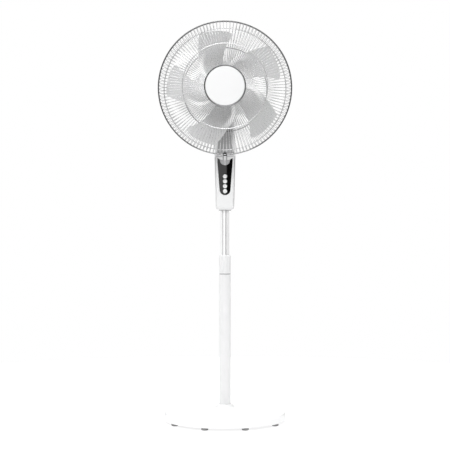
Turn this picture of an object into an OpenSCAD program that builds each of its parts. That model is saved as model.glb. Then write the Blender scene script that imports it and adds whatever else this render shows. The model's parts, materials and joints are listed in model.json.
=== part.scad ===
// Pedestal fan with a round base, a telescopic pole, a control box, a swinging neck and a tilting head.
// Millimetres. The origin lies on the floor under the pole, +Z points up and the air blows towards -Y.

/* [Base] */
// Diameter of the round base
base_d = 408; // [396:2:420]
// Height of the rubber feet
foot_h = 8; // [7:1:10]
// Number of rubber feet
foot_count = 9; // [9:3:12]
// Diameter of one rubber foot
foot_d = 23; // [18:1:24]
// Height of the socket round the pole, above the floor
socket_z = 60; // [56:1:64]

/* [Pole] */
// Outer diameter of the lower pole
pole_d = 38; // [38:0.1:38.2]
// Height at which the lower pole ends
pole_top_z = 494; // [480:1:500]
// Diameter of the chrome inner tube
tube_d = 28; // [27.6:0.1:28]
// Length of the height collar
collar_h = 62; // [58:1:66]

/* [Control box] */
// Height of the box's lower end
box_z = 711; // [709:1:713]
// Width of the box at its upper end
box_w = 70; // [69:1:72]
// Height of the box's upper end
box_top_z = 889; // [889:1:890]
// Diameter of one button
button_d = 14; // [12:0.5:14.5]
// Distance between two buttons
button_pitch = 16.4; // [16:0.1:16.6]

/* [Head] */
// Height of the fan's axis
head_z = 1109; // [1108:1:1112]
// Outer diameter of the guard
guard_d = 440; // [436:1:444]
// Number of wires in each guard
wire_count = 120; // [60:12:120]
// Diameter of one guard wire
wire_d = 2; // [1.6:0.1:2]
// Radius of the fan's tips
blade_tip_r = 193; // [174:1:193]
// Number of fan blades
blade_count = 5; // [3:1:5]
// Radius of the white centre disc
badge_r = 63.8; // [60:0.2:64]

/* [Hidden] */
$fn = 64;

// Base
plate_t = 2;
plate_top_z = foot_h + plate_t;
base_r = base_d / 2;
cover_wall = 3;
rim_top_z = 32;
rim_round = 7;
dome_rise = 16;
dome_inner_r = 46;
foot_ring_r = 190;
foot_stem_r = 4;
cover_screw_ring_r = 184;
cover_screw_count = 3;
screw_boss_r = 6;
weight_r = [60, 168];
weight_h = 8;

// Pole
pole_r = pole_d / 2;
pole_wall = 1.5;
pole_bore_r = pole_r - pole_wall;
flange_r = 38;
flange_h = 5.5;
pole_z = plate_top_z + flange_h;
pole_screw_ring_r = 28;
insert_flange_h = 3;
collet_r = 16.6;
running_gap = 0.06;
part_gap = 0.3;
collar_z = pole_top_z + insert_flange_h + part_gap;
tube_r = tube_d / 2;
tube_bore_r = tube_r - 1.5;
insert_depth = 28;
stop_h = 25;
stop_z = pole_top_z - insert_depth - stop_h - part_gap;
tube_top_z = box_z + 25;

// Control box
box_wall = 2.8;
box_front_y = -33;
box_split_y = -8;
box_shoulder_z = box_z + 16;
shoulder_size = [63, 61];
spigot_w = 43;
pan_screw_ring_r = 23.5;
tube_ring_h = 3;
socket_r = 18.5;
socket_low_z = box_z + 0.5;
socket_screw_z = box_z + 20;
socket_screw_y = 28.6;
gland_z = 770;
panel_top_z = box_top_z - 5;
panel_low_z = 778;
panel_top_half = 25;
panel_low_half = 18.2;
notch_r = 15.3;
notch_z = panel_top_z - 10;
panel_front_y = box_front_y - 1.2;
panel_back_y = box_front_y + 1.2;
button_travel = 1;
button_top_z = 822;
button_gap = 0.25;
board_front_y = -22.4;
board_t = 1.6;
board_z = [748, 876];
board_half = 22;
board_hole_x = 18;
board_hole_z = [753, 846];
window_column_half = 7;
low_post = [24.5, 740];
high_post = [27, 855];
post_r = 3.6;

// Swing drive
gear_teeth = 30;
pinion_teeth = 10;
gear_module = 1;
gear_z = 867;
gear_h = 4.5;
gear_distance = gear_module * (gear_teeth + pinion_teeth) / 2;
spindle_r = 11;
spindle_bore_r = 7;
stepper_offset = 8;
stepper_z = 843;
stepper_h = 19;
ear_half = 17.5;
ear_r = 3.5;
pan_boss_r = 18.9;
pan_plate_z = 880;

// Neck and tilt hinge
neck_z = box_top_z + 0.8;
neck_wall = 2.6;
neck_waist_z = 960;
neck_shoulder_z = 996;
neck_top_z = 1004;
neck_window_half = 25;
neck_window_z = [neck_z + 4, 990];
tilt_y = 8;
tilt_z = 1020;
barrel_r = 14;
barrel_half = 25;
tongue_half = 8;
bolt_r = 4;

// Motor: v is the distance along the fan's axis, positive to the rear
shell_r = 72;
shell_wall = 2.6;
shell_front_v = -50;
shell_split_v = -47;
shell_rear_v = 98;
shell_post_ring_r = 66.2;
shield_r = 51;
stator_r = 44;
stator_bore_r = 24;
stator_v = [-14, 20];
winding_r = [27, 39];
winding_h = 16;
shaft_r = 4;
shaft_v = [-140, 57];
drive_pin_v = -78;
tie_ring_r = 48;
bracket_z = [1052, 1072];
bracket_screw_x = 17;
bracket_screw_y = 5;
bracket_screw_h = 22;

// Guards
rim_wire_r = 2.2;
ring_wire_r = 1.6;
rim_v = -110;
rim_ring_r = guard_d / 2 - rim_wire_r;
wire_gap = 0.15;
wire_rim_r = rim_ring_r - rim_wire_r - wire_d / 2 - wire_gap;
front_centre_v = -164.5;
front_bend_r = 42;
front_bend_end = 84;
rear_bend_r = 30;
rear_bend_end = 75;
rear_plate_v = [-55, -53];
rear_plate_r = 96;
centre_ring_r = 60;
front_ring_r = 138;
rear_ring_r = 139;
trim_r = 68.4;
trim_back_v = front_centre_v - wire_d / 2 - 0.1;
trim_front_v = trim_back_v - 1.5;
trim_clamp_v = front_centre_v + wire_d / 2 + 0.1;

// Fan blades
hub_r = 32;
hub_v = [-124, -72];
blade_root_r = hub_r - 2;
blade_t = 2.2;
blade_front_v = -128;
blade_rear_v = -76;
blade_tip_fall = 5;
blade_front_corner = 3;
blade_rear_corner = 9;

// Steep lip along a blade's front edge: its width in degrees, its height, how far out it
// reaches past 70 mm and its share of the columns from edge to edge
lip_angle = 9.5;
lip_h = 22;
lip_reach = 66;
lip_s = 0.25;

// ---- Helpers ----

// Points of an arc from one angle to another
function arc(centre, r, from, to, steps) =
    [for (i = [0 : steps]) let (a = from + (to - from) * i / steps) centre + r * [cos(a), sin(a)]];

function unit(v) = v / norm(v);
function heading(path, i) = unit(path[min(i + 1, len(path) - 1)] - path[max(i - 1, 0)]);
function shifted(path, by) =
    [for (i = [0 : len(path) - 1]) let (h = heading(path, i)) path[i] + by * [-h[1], h[0]]];
function reversed(list) = [for (i = [len(list) - 1 : -1 : 0]) list[i]];

// A flat strip of even width along a path
module strip(path, width) {
    polygon(concat(shifted(path, width / 2), reversed(shifted(path, -width / 2))));
}

module tube(outer_r, inner_r, z0, z1) {
    translate([0, 0, z0]) difference() {
        cylinder(r = outer_r, h = z1 - z0);
        translate([0, 0, -1]) cylinder(r = inner_r, h = z1 - z0 + 2);
    }
}

module rod(r, z0, z1) {
    translate([0, 0, z0]) cylinder(r = r, h = z1 - z0);
}

// A block given by its lowest and highest corners
module block(low, high) {
    translate(low) cube(high - low);
}

// Turns a child so that its +Z runs along +Y
module along_y() {
    rotate([-90, 0, 0]) children();
}

// Turns a child so that its +Z runs along +X
module along_x() {
    rotate([0, 90, 0]) children();
}

// Places a child on the fan's axis, with its +Z to the rear
module on_fan_axis() {
    translate([0, 0, head_z]) along_y() children();
}

module around(count, first = 0) {
    for (i = [0 : count - 1]) rotate([0, 0, first + i * 360 / count]) children();
}

// A screw whose head lies below z = 0 and whose shank rises to length
module screw(shank_r, length, head_r, head_h) {
    rod(shank_r, 0, length);
    difference() {
        rod(head_r, -head_h, 0);
        block([-head_r * 0.7, -0.4, -head_h - 1], [head_r * 0.7, 0.4, -head_h * 0.5]);
    }
}

// A thin slab with rounded corners, for hulls
module slab(z, w, d, y, r) {
    translate([0, y, z]) linear_extrude(0.01)
        offset(r = r, $fn = 32) square([w - 2 * r, d - 2 * r], center = true);
}

// ---- Base ----

// Height of the cover's outer surface at a distance from the pole
function dome_z(r) =
    rim_top_z + dome_rise * (1 - pow(max(r - dome_inner_r, 0) / (base_r - rim_round - dome_inner_r), 2));

function dome_points(sink) =
    [for (i = [0 : 12]) let (r = base_r - rim_round - i * (base_r - rim_round - dome_inner_r) / 12)
        [r, dome_z(r) - sink]];

module base_cover() {
    outer = concat(
        [[pole_r + 0.1, foot_h], [base_r - 1, foot_h], [base_r, foot_h + 1]],
        arc([base_r - rim_round, rim_top_z - rim_round], rim_round, 0, 80, 6),
        dome_points(0),
        [[pole_r + 14, dome_z(0) + 2], [pole_r + 8, dome_z(0) + 6], [pole_r + 6, socket_z - 1],
            [pole_r + 5, socket_z], [pole_r + 0.1, socket_z]]
    );
    inner_r = base_r - cover_wall;
    inner = concat(
        [[pole_r - 1, foot_h - 1], [inner_r, foot_h - 1]],
        arc([base_r - rim_round, rim_top_z - rim_round], rim_round - cover_wall, 0, 80, 6),
        dome_points(cover_wall),
        [[pole_r - 1, dome_z(0) - cover_wall]]
    );
    color("white") {
        difference() {
            rotate_extrude($fn = 128) polygon(outer);
            rotate_extrude($fn = 128) polygon(inner);
        }
        around(cover_screw_count, -90) translate([cover_screw_ring_r, 0, 0])
            tube(screw_boss_r, 2, plate_top_z, dome_z(cover_screw_ring_r) - cover_wall + 1);
    }
}

module base_plate() {
    color("dimgray") difference() {
        rod(base_r - cover_wall - 0.5, foot_h, plate_top_z, $fn = 128);
        around(foot_count, 90) translate([foot_ring_r, 0, 0]) rod(foot_stem_r, 0, plate_top_z + 1);
        around(cover_screw_count, -90) translate([cover_screw_ring_r, 0, 0]) rod(2, 0, plate_top_z + 1);
        around(4, 45) translate([pole_screw_ring_r, 0, 0]) rod(2.5, 0, plate_top_z + 1);
    }
}

module base_weight() {
    color("gray") tube(weight_r[1], weight_r[0], plate_top_z, plate_top_z + weight_h, $fn = 96);
}

module base_feet() {
    color("black") around(foot_count, 90) translate([foot_ring_r, 0, 0]) rotate_extrude()
        polygon([[0, 0], [foot_d / 2 - 1.5, 0], [foot_d / 2, 1.5], [foot_d / 2, foot_h],
            [foot_stem_r, foot_h], [foot_stem_r, plate_top_z], [0, plate_top_z]]);
}

// The screws of the cover and, in the middle, those of the pole
module base_screws() {
    color("silver") around(cover_screw_count, -90) translate([cover_screw_ring_r, 0, foot_h])
        screw(2, 16, 4, 2.2);
    color("silver") around(4, 45) translate([pole_screw_ring_r, 0, foot_h])
        screw(2.5, plate_t + flange_h - 0.5, 5, 2.5);
}

// ---- Pole ----

module pole_foot() {
    color("silver") difference() {
        union() {
            rod(flange_r, plate_top_z, pole_z);
            rod(pole_bore_r, plate_top_z, pole_z + 50);
        }
        rod(8, 0, pole_z + 51);
        around(4, 45) translate([pole_screw_ring_r, 0, 0]) rod(2.5, 0, pole_z + 1);
    }
}

module pole_tube() {
    color("white") tube(pole_r, pole_bore_r, pole_z, pole_top_z);
}

module collar_insert() {
    color("dimgray") difference() {
        union() {
            rod(pole_bore_r, pole_top_z - insert_depth, pole_top_z);
            rod(pole_r - 0.6, pole_top_z, pole_top_z + insert_flange_h);
            rod(collet_r, pole_top_z, pole_top_z + 50);
        }
        rod(tube_r + running_gap, pole_top_z - insert_depth - 1, pole_top_z + 51);
        around(3) block([0, -1, pole_top_z + 14], [collet_r + 1, 1, pole_top_z + 51]);
    }
}

module height_collar() {
    outer_r = pole_r + 0.3;
    bore_top_z = pole_top_z + 51;
    round_r = 5;
    grip_r = 2;
    grip_z = [collar_z + 4, collar_z + collar_h - 12];
    color("white") difference() {
        rotate_extrude() polygon(concat(
            [[collet_r + running_gap, collar_z], [outer_r - 0.6, collar_z], [outer_r, collar_z + 0.6]],
            arc([outer_r - round_r, collar_z + collar_h - round_r], round_r, 0, 90, 5),
            [[tube_r + 0.4, collar_z + collar_h], [tube_r + 0.4, bore_top_z],
                [collet_r + running_gap, bore_top_z]]
        ));
        around(12) translate([outer_r + grip_r - 0.7, 0, 0]) rod(grip_r, grip_z[0], grip_z[1]);
    }
}

module inner_tube() {
    color("gainsboro") difference() {
        tube(tube_r, tube_bore_r, stop_z, tube_top_z);
        translate([0, 0, socket_screw_z]) along_y() rod(2.5, 0, tube_r + 1);
    }
}

module tube_stop() {
    color("dimgray") tube(pole_bore_r - running_gap, tube_r, stop_z, stop_z + stop_h);
}

// ---- Control box ----

module tube_ring() {
    color("black") tube(spigot_w / 2 - 0.6, tube_r, box_z - tube_ring_h, box_z);
}

module tube_socket() {
    color("gray") difference() {
        union() {
            rod(socket_r, socket_low_z, tube_top_z + 9);
            rod(socket_r + 1.8, tube_top_z - 1, tube_top_z + 3);
        }
        rod(tube_r, socket_low_z - 1, tube_top_z);
        rod(8, socket_low_z - 1, tube_top_z + 10);
        translate([0, 0, socket_screw_z]) along_y() rod(2.5, 0, socket_r + 3);
    }
}

module socket_screw() {
    color("silver") translate([0, socket_screw_y, socket_screw_z]) rotate([90, 0, 0])
        screw(2.5, 15.6, 4.6, 2.6);
}

// The solid form of the box, shrunk on every side by inset
module box_form(inset) {
    hull() {
        slab(box_z + inset, spigot_w - 2 * inset, spigot_w - 2 * inset, 0, 21 - inset);
        slab(box_shoulder_z + inset / 2, shoulder_size[0] - 2 * inset, shoulder_size[1] - 2 * inset,
            box_front_y + shoulder_size[1] / 2, 20 - inset);
        slab(box_top_z - inset, box_w - 2 * inset, -2 * box_front_y - 2 * inset, 0, 22 - inset);
    }
}

module box_skin() {
    difference() {
        box_form(0);
        box_form(box_wall);
        rod(pan_boss_r + 0.1, box_top_z - box_wall - 1, box_top_z + 1);
        rod(socket_r + 0.1, box_z - 1, box_z + box_wall + 3);
        around(4, 45) translate([pan_screw_ring_r, 0, 0]) {
            rod(2.9, box_top_z - 1.5, box_top_z + 1);
            rod(1.6, box_top_z - 4, box_top_z);
        }
    }
}

module at_posts() {
    for (side = [-1, 1], place = [low_post, high_post])
        translate([side * place[0], 0, place[1]]) children();
}

module at_board_holes() {
    for (side = [-1, 1], z = board_hole_z) translate([side * board_hole_x, 0, z]) children();
}

function panel_outline(grow) = concat(
    [[-panel_top_half - grow, panel_top_z + grow]],
    arc([0, panel_low_z], panel_low_half + grow, 176, 364, 24),
    [[panel_top_half + grow, panel_top_z + grow]],
    arc([0, notch_z], notch_r - grow, 0, -180, 20)
);

// Extrudes a shape drawn in X and Z from the front face y0 back to y1
module face_plate(y0, y1) {
    translate([0, y1, 0]) rotate([90, 0, 0]) linear_extrude(y1 - y0) children();
}

module at_buttons() {
    for (i = [0 : 3]) translate([0, 0, button_top_z - i * button_pitch]) children();
}

module window_outline(grow) {
    polygon(concat(
        [[-window_column_half - grow, box_top_z - 6 + grow]],
        [[-window_column_half - grow, notch_z + grow], [-notch_r + 0.4 - grow, notch_z + grow]],
        arc([0, notch_z], notch_r - 0.4 + grow, 180, 360, 20),
        [[window_column_half + grow, notch_z + grow], [window_column_half + grow, box_top_z - 6 + grow]]
    ));
}

module board_bosses(outer_r, inner_r) {
    at_board_holes() along_y() tube(outer_r, inner_r, box_front_y + box_wall - 0.5, board_front_y);
}

module box_front() {
    color("white") difference() {
        union() {
            intersection() {
                box_skin();
                block([-60, -60, 600], [60, box_split_y, 1000]);
            }
            intersection() {
                at_posts() along_y() tube(post_r, 1.4, -28, box_split_y);
                box_form(0.5);
            }
            board_bosses(3, 1.2);
        }
        face_plate(box_front_y - 1, panel_back_y) polygon(panel_outline(0.1));
        at_buttons() along_y() rod(button_d / 2 + 0.6, box_front_y - 1, box_front_y + box_wall + 1);
        face_plate(box_front_y - 1, box_front_y + box_wall + 1) window_outline(0.1);
    }
}

module box_rear() {
    color("white") difference() {
        union() {
            intersection() {
                box_skin();
                block([-60, box_split_y, 600], [60, 60, 1000]);
            }
            intersection() {
                at_posts() along_y() rod(post_r, box_split_y, 40);
                box_form(0);
            }
        }
        at_posts() along_y() {
            rod(1.5, box_split_y - 1, 41);
            rod(3, 14, 41);
        }
        translate([0, 0, socket_screw_z]) along_y() {
            rod(2.7, 10, 40);
            rod(5, socket_screw_y - 2.4, 40);
        }
        translate([0, 0, gland_z]) along_y() rod(7, 10, 40);
    }
}

module box_screws() {
    color("silver") at_posts() translate([0, 14, 0]) rotate([90, 0, 0]) screw(1.4, 34, 2.8, 2);
}

module control_panel() {
    color([0.06, 0.06, 0.07]) difference() {
        face_plate(panel_front_y, panel_back_y) polygon(panel_outline(0));
        at_buttons() along_y() rod(button_d / 2 + button_gap, panel_front_y - 1, panel_back_y + 1);
    }
}

module receiver_window() {
    rib_pitch = 3;
    color([0.75, 0.76, 0.78]) difference() {
        face_plate(box_front_y - 0.4, box_front_y + box_wall) window_outline(0);
        for (i = [-4 : 4]) if (abs(i) > 0) translate([i * rib_pitch + sign(i), box_front_y, 0])
            block([-0.4, -1, notch_z - 24], [0.4, 0.2, box_top_z + 1]);
    }
}

module button(index) {
    lip_y = box_front_y + box_wall + 0.2;
    color("white") translate([0, 0, button_top_z - (index - 1) * button_pitch]) along_y() {
        rotate_extrude() polygon(concat(
            [[0, panel_front_y - 1.4]],
            arc([button_d / 2 - 1, panel_front_y - 0.4], 1, -90, 0, 4),
            [[button_d / 2, lip_y], [button_d / 2 + 1, lip_y], [button_d / 2 + 1, lip_y + 1],
                [2, lip_y + 1], [2, -28.4], [0, -28.4]]
        ));
    }
}

module button_1() { button(1); }
module button_2() { button(2); }
module button_3() { button(3); }
module button_4() { button(4); }

module circuit_board() {
    board_back_y = board_front_y + board_t;
    color("darkgreen") difference() {
        union() {
            block([-board_half, board_front_y, board_z[0]], [board_half, board_back_y, board_z[1]]);
            block([-6, board_front_y - 4, 864], [6, board_front_y, 872]);
            block([-10, board_back_y, 800], [10, board_back_y + 3, 820]);
            block([-18, board_back_y, 765], [-8, board_back_y + 8, 790]);
        }
        at_board_holes() along_y() rod(1.4, -30, 0);
    }
}

module tact_switches() {
    color("dimgray") at_buttons() {
        block([-3, -26, -3], [3, board_front_y, 3]);
        along_y() rod(1.75, -27.3, -26);
    }
}

module power_board() {
    color("olivedrab") {
        block([-20, 16, 785], [20, 17.6, 838]);
        block([-14, 2, 790], [6, 16, 812]);
        translate([12, 0, 800]) along_y() rod(5, 4, 16);
        translate([-8, 0, 826]) along_y() rod(4, 6, 16);
        for (side = [-1, 1]) block([side * 15 - 2, 17.6, 790], [side * 15 + 2, 25, 794]);
    }
}

module cord_gland() {
    color("dimgray") translate([0, 0, gland_z]) along_y() difference() {
        union() {
            rod(7, 22, 34);
            rod(9, 29.6, 32);
            rod(9, 22, 24.5);
        }
        rod(3.5, 26, 35);
    }
}

// ---- Swing drive ----

// Outline of a spur gear with straight-sided teeth and generous backlash
function gear_outline(teeth, m) =
    let (r = teeth * m / 2, step = 360 / teeth)
    [for (i = [0 : teeth - 1], corner = [[-0.30, -1.15], [-0.12, 0.75], [0.12, 0.75], [0.30, -1.15]])
        let (a = (i + corner[0]) * step, s = r + corner[1] * m) s * [cos(a), sin(a)]];

// The two ears of the swing motor
module at_ears() {
    for (side = [-1, 1]) translate([side * ear_half, gear_distance - stepper_offset, 0]) children();
}

module pan_plate() {
    color("gray") difference() {
        union() {
            rod(27, pan_plate_z, box_top_z - box_wall - 0.1);
            rod(pan_boss_r, pan_plate_z, box_top_z + 0.2);
            rod(15.5, gear_z + gear_h + 0.4, pan_plate_z + 1);
            at_ears() rod(3, stepper_z + stepper_h, pan_plate_z + 1);
        }
        rod(spindle_r + running_gap, 860, 900);
        around(4, 45) translate([pan_screw_ring_r, 0, 0]) rod(1.5, pan_plate_z - 1, 890);
        at_ears() rod(1.3, stepper_z + stepper_h - 1, stepper_z + stepper_h + 8);
    }
}

// The short screws of the control box: four for the pan plate, two for the motor, four for the board
module inner_screws() {
    color("silver") {
        around(4, 45) translate([pan_screw_ring_r, 0, box_top_z - 1.5]) mirror([0, 0, 1])
            screw(1.5, 7, 2.8, 1.3);
        at_ears() translate([0, 0, stepper_z + stepper_h - 1]) screw(1.3, 8, 2.6, 1.6);
        at_board_holes() translate([0, board_front_y + board_t, 0]) rotate([90, 0, 0])
            screw(1.2, 7, 2.6, 1.6);
    }
}

module swing_motor() {
    can_y = gear_distance - stepper_offset;
    top_z = stepper_z + stepper_h;
    color("silver") difference() {
        union() {
            translate([0, can_y, 0]) rod(14, stepper_z, top_z);
            translate([0, can_y, top_z])
                block([-ear_half - ear_r, -ear_r, -1], [ear_half + ear_r, ear_r, 0]);
            translate([0, gear_distance, 0]) rod(4.5, top_z, top_z + 1.5);
        }
        at_ears() rod(1.3, top_z - 2, top_z + 1);
        translate([0, gear_distance, 0]) rod(2.5 + running_gap, top_z - 6, top_z + 2);
    }
}

module swing_pinion() {
    color("white") translate([0, gear_distance, 0]) {
        translate([0, 0, gear_z]) linear_extrude(gear_h)
            rotate(18) polygon(gear_outline(pinion_teeth, gear_module));
        rod(2.5, stepper_z + stepper_h - 5, gear_z + gear_h);
    }
}

module swing_gear() {
    color("white") difference() {
        translate([0, 0, gear_z]) linear_extrude(gear_h) polygon(gear_outline(gear_teeth, gear_module));
        rod(spindle_r, gear_z - 1, gear_z + gear_h + 1);
    }
}

module spindle_clip() {
    color("silver") difference() {
        tube(spindle_r + 2.4, spindle_r - 0.8, gear_z - 1.4, gear_z);
        block([-3, 0, gear_z - 3], [3, 20, gear_z + 1]);
    }
}

// ---- Neck ----

module neck_frame() {
    side_in = tongue_half + part_gap;
    side_out = 14;
    color("silver") difference() {
        union() {
            rod(spindle_r, gear_z - 3, box_top_z + 2);
            rod(24, box_top_z + 0.5, box_top_z + 5);
            for (side = [-1, 1]) {
                block([side > 0 ? side_in : -side_out, tilt_y - 12, box_top_z + 4],
                    [side > 0 ? side_out : -side_in, tilt_y + 12, tilt_z]);
                translate([side > 0 ? side_in : -barrel_half, tilt_y, tilt_z]) along_x()
                    rod(barrel_r, 0, barrel_half - side_in);
            }
        }
        rod(spindle_bore_r, 860, box_top_z + 10);
        tube(spindle_r + 1, spindle_r - 0.8, gear_z - 1.4, gear_z);
        translate([0, tilt_y, tilt_z]) along_x() rod(bolt_r, -40, 40);
        for (side = [-1, 1]) translate([0, tilt_y, tilt_z]) along_x()
            rod(8, side > 0 ? 20 : -26, side > 0 ? 26 : -20);
    }
}

// The solid form of the neck, shrunk on every side by inset
module neck_form(inset) {
    hull() {
        slab(neck_z + inset, 70 - 2 * inset, 66 - 2 * inset, 0, 22 - inset);
        slab(neck_waist_z, 68 - 2 * inset, 65 - 2 * inset, 0, 22 - inset);
        slab(neck_shoulder_z - inset / 2, 62 - 2 * inset, 62 - 2 * inset, 0, 21 - inset);
        slab(neck_top_z - inset, 54 - 2 * inset, 54 - 2 * inset, 0, 20 - inset);
    }
}

module neck_skin() {
    difference() {
        neck_form(0);
        neck_form(neck_wall);
        rod(24.4, neck_z - 1, neck_z + neck_wall + 1);
        translate([0, tilt_y, neck_top_z])
            block([-barrel_half - 1, -barrel_r - 1, -14], [barrel_half + 1, barrel_r + 1, 6]);
    }
}

module neck_window(gap) {
    block([-neck_window_half + gap, -60, neck_window_z[0] + gap],
        [neck_window_half - gap, -22, neck_window_z[1] - gap]);
}

module neck_front() {
    color([0.25, 0.25, 0.27]) intersection() {
        neck_skin();
        neck_window(0.1);
    }
}

module neck_shell() {
    color("white") difference() {
        neck_skin();
        neck_window(0);
    }
}

module tilt_bolt() {
    color("silver") translate([0, tilt_y, tilt_z]) along_x() {
        rod(bolt_r, -24, 25);
        rod(6.8, -24, -20);
    }
}

module tilt_nut() {
    color("silver") translate([0, tilt_y, tilt_z]) along_x() difference() {
        rod(6.8, 20, 24, $fn = 6);
        rod(bolt_r, 19, 26);
    }
}

// ---- Motor ----

module motor_bracket() {
    color("gray") difference() {
        union() {
            translate([-tongue_half, tilt_y, tilt_z]) along_x() rod(barrel_r, 0, 2 * tongue_half);
            block([-tongue_half, tilt_y - 10, tilt_z], [tongue_half, tilt_y + 10, bracket_z[0] + 2]);
            block([-22, -16, bracket_z[0]], [22, 26, bracket_z[1]]);
        }
        on_fan_axis() rod(stator_r, -60, 60);
        translate([0, tilt_y, tilt_z]) along_x() rod(bolt_r + running_gap, -20, 20);
        at_bracket_screws() rod(2, -1, bracket_screw_h);
    }
}

module at_bracket_screws() {
    for (side = [-1, 1])
        translate([side * bracket_screw_x, bracket_screw_y, bracket_z[0]]) children();
}

module shell_posts(r, v0, v1) {
    around(3, 30) translate([shell_post_ring_r, 0, 0]) rod(r, v0, v1);
}

module motor_front_shell() {
    color("white") on_fan_axis() difference() {
        union() {
            rod(shell_r, shell_front_v, shell_split_v);
            rod(60, rear_plate_v[1], shell_front_v + 1);
            rod(28, -62, shell_front_v + 1);
        }
        rod(20, -63, shell_split_v + 1);
        shell_posts(1.5, -60, -40);
        shell_posts(3, -60, shell_front_v + 1.5);
    }
}

function shell_profile(inset) = concat(
    [[0, shell_split_v + (inset > 0 ? -1 : 0)], [shell_r - inset, shell_split_v + (inset > 0 ? -1 : 0)]],
    [for (i = [0 : 10]) let (a = i * 9)
        [(shell_r - inset) * (0.45 + 0.55 * cos(a)), 18 + (shell_rear_v - 18 - inset) * sin(a)]],
    [[0, shell_rear_v - inset]]
);

module motor_rear_shell() {
    color("white") on_fan_axis() difference() {
        union() {
            difference() {
                rotate_extrude($fn = 96) polygon(shell_profile(0));
                rotate_extrude($fn = 96) polygon(shell_profile(shell_wall));
                around(16) block([12, -1.5, 84], [28, 1.5, 100]);
            }
            shell_posts(4, shell_split_v, 10);
        }
        shell_posts(1.5, shell_split_v - 1, 0);
        block([-tongue_half - 3, 60, tilt_y - 24], [tongue_half + 3, 80, tilt_y + 24]);
    }
}

module shell_screws() {
    color("silver") on_fan_axis() around(3, 30)
        translate([shell_post_ring_r, 0, shell_front_v + 1.5]) screw(1.5, 14, 2.8, 1.4);
}

module end_shields() {
    color("silver") on_fan_axis() {
        difference() {
            union() {
                rod(shield_r, -44, -41);
                rod(11, -46.5, -33);
            }
            rod(8.5, -47, -32);
            around(4, 45) translate([tie_ring_r, 0, 0]) rod(2, -50, -40);
        }
        difference() {
            union() {
                rod(shield_r, 49, 52);
                rod(11, 42, 56);
            }
            rod(8.5, 41, 57);
            around(4, 45) translate([tie_ring_r, 0, 0]) rod(2, 48, 60);
        }
    }
}

module tie_bolts() {
    color("silver") on_fan_axis() around(4, 45) translate([tie_ring_r, 0, -44]) {
        rod(2, 0, 98);
        rod(2.9, -2, 0);
    }
    color("silver") on_fan_axis() around(4, 45) translate([tie_ring_r, 0, 0]) difference() {
        rod(2.9, 52, 54, $fn = 6);
        rod(2, 51, 55);
    }
    color("silver") at_bracket_screws() screw(2, bracket_screw_h, 4, 2.5);
}

module bearings() {
    color("goldenrod") on_fan_axis() {
        tube(8.5, shaft_r + running_gap, -46, -34);
        tube(8.5, shaft_r + running_gap, 43, 55);
    }
}

module stator() {
    color("slategray") difference() {
        on_fan_axis() tube(stator_r, stator_bore_r, stator_v[0], stator_v[1]);
        at_bracket_screws() rod(2, 0, bracket_screw_h);
    }
}

module windings() {
    color("chocolate") on_fan_axis() {
        tube(winding_r[1], winding_r[0], stator_v[0] - winding_h, stator_v[0]);
        tube(winding_r[1], winding_r[0], stator_v[1], stator_v[1] + winding_h);
    }
}

module rotor_core() {
    color("slategray") on_fan_axis() tube(stator_bore_r - 0.5, shaft_r, stator_v[0], stator_v[1]);
}

module motor_shaft() {
    color("silver") on_fan_axis() difference() {
        rod(shaft_r, shaft_v[0], shaft_v[1]);
        translate([0, 0, drive_pin_v]) along_x() rod(1.5, -10, 10);
    }
}

module drive_pin() {
    color("silver") on_fan_axis() translate([0, 0, drive_pin_v]) along_x() rod(1.5, -10, 10);
}

// ---- Fan ----

// Angle of the blade's edges, clockwise from the top as the air leaves, at a radius
function trailing_angle(r) = 20.4 + 0.236 * (r - 77);
function leading_angle(r) = 66 + 0.0125 * pow(max(r - 69, 0), 1.5);

// How much of the full lip a blade has along its front edge: the lip fades away from the root
function lip_share(r) = 0.12 + 0.88 * max(0, 1 - pow(max(r - 70, 0) / lip_reach, 2));

// Radius of the tip, which falls towards the rear edge and is rounded at both corners
function blade_tip(s) =
    let (corner = s > 0.5 ? blade_rear_corner : blade_front_corner)
    blade_tip_r - blade_tip_fall * s - corner * pow(abs(2 * s - 1), 6);

// A point of the blade: t runs from the root to the tip, s from the front edge to the rear edge
function blade_point(t, s, side) =
    let (
        r = blade_root_r + (blade_tip(s) - blade_root_r) * t,
        share = lip_share(r),
        lip = min(1, s / lip_s),
        body = max(0, (s - lip_s) / (1 - lip_s)),
        spread = leading_angle(r) - trailing_angle(r),
        a = trailing_angle(r) - lip_angle * share * (1 - lip) + spread * body - 90,
        lip_v = blade_front_v + lip_h * share,
        body_v = (blade_rear_v - lip_v) * (body + 0.1 * sin(180 * body)),
        v = blade_front_v + lip_h * share * lip + body_v + (1 - t) * (3 - 4 * s)
    )
    [r * cos(a), r * sin(a), v + side * blade_t / 2];

module blade() {
    rows = 9;
    columns = 8;
    width = columns + 1;
    layer = (rows + 1) * width;
    points = [for (side = [-1, 1], i = [0 : rows], j = [0 : columns])
        blade_point(i / rows, j / columns, side)];
    front = [for (i = [0 : rows - 1], j = [0 : columns - 1]) let (p = i * width + j)
        each [[p, p + width, p + width + 1], [p, p + width + 1, p + 1]]];
    rear = [for (f = front) [f[0] + layer, f[2] + layer, f[1] + layer]];
    rim = concat(
        [for (j = [0 : columns]) j],
        [for (i = [1 : rows]) i * width + columns],
        [for (j = [columns - 1 : -1 : 0]) rows * width + j],
        [for (i = [rows - 1 : -1 : 1]) i * width]
    );
    edge = [for (k = [0 : len(rim) - 1]) let (p = rim[k], q = rim[(k + 1) % len(rim)])
        each [[p, q, q + layer], [p, q + layer, p + layer]]];
    polyhedron(points, concat(front, rear, edge));
}

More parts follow.
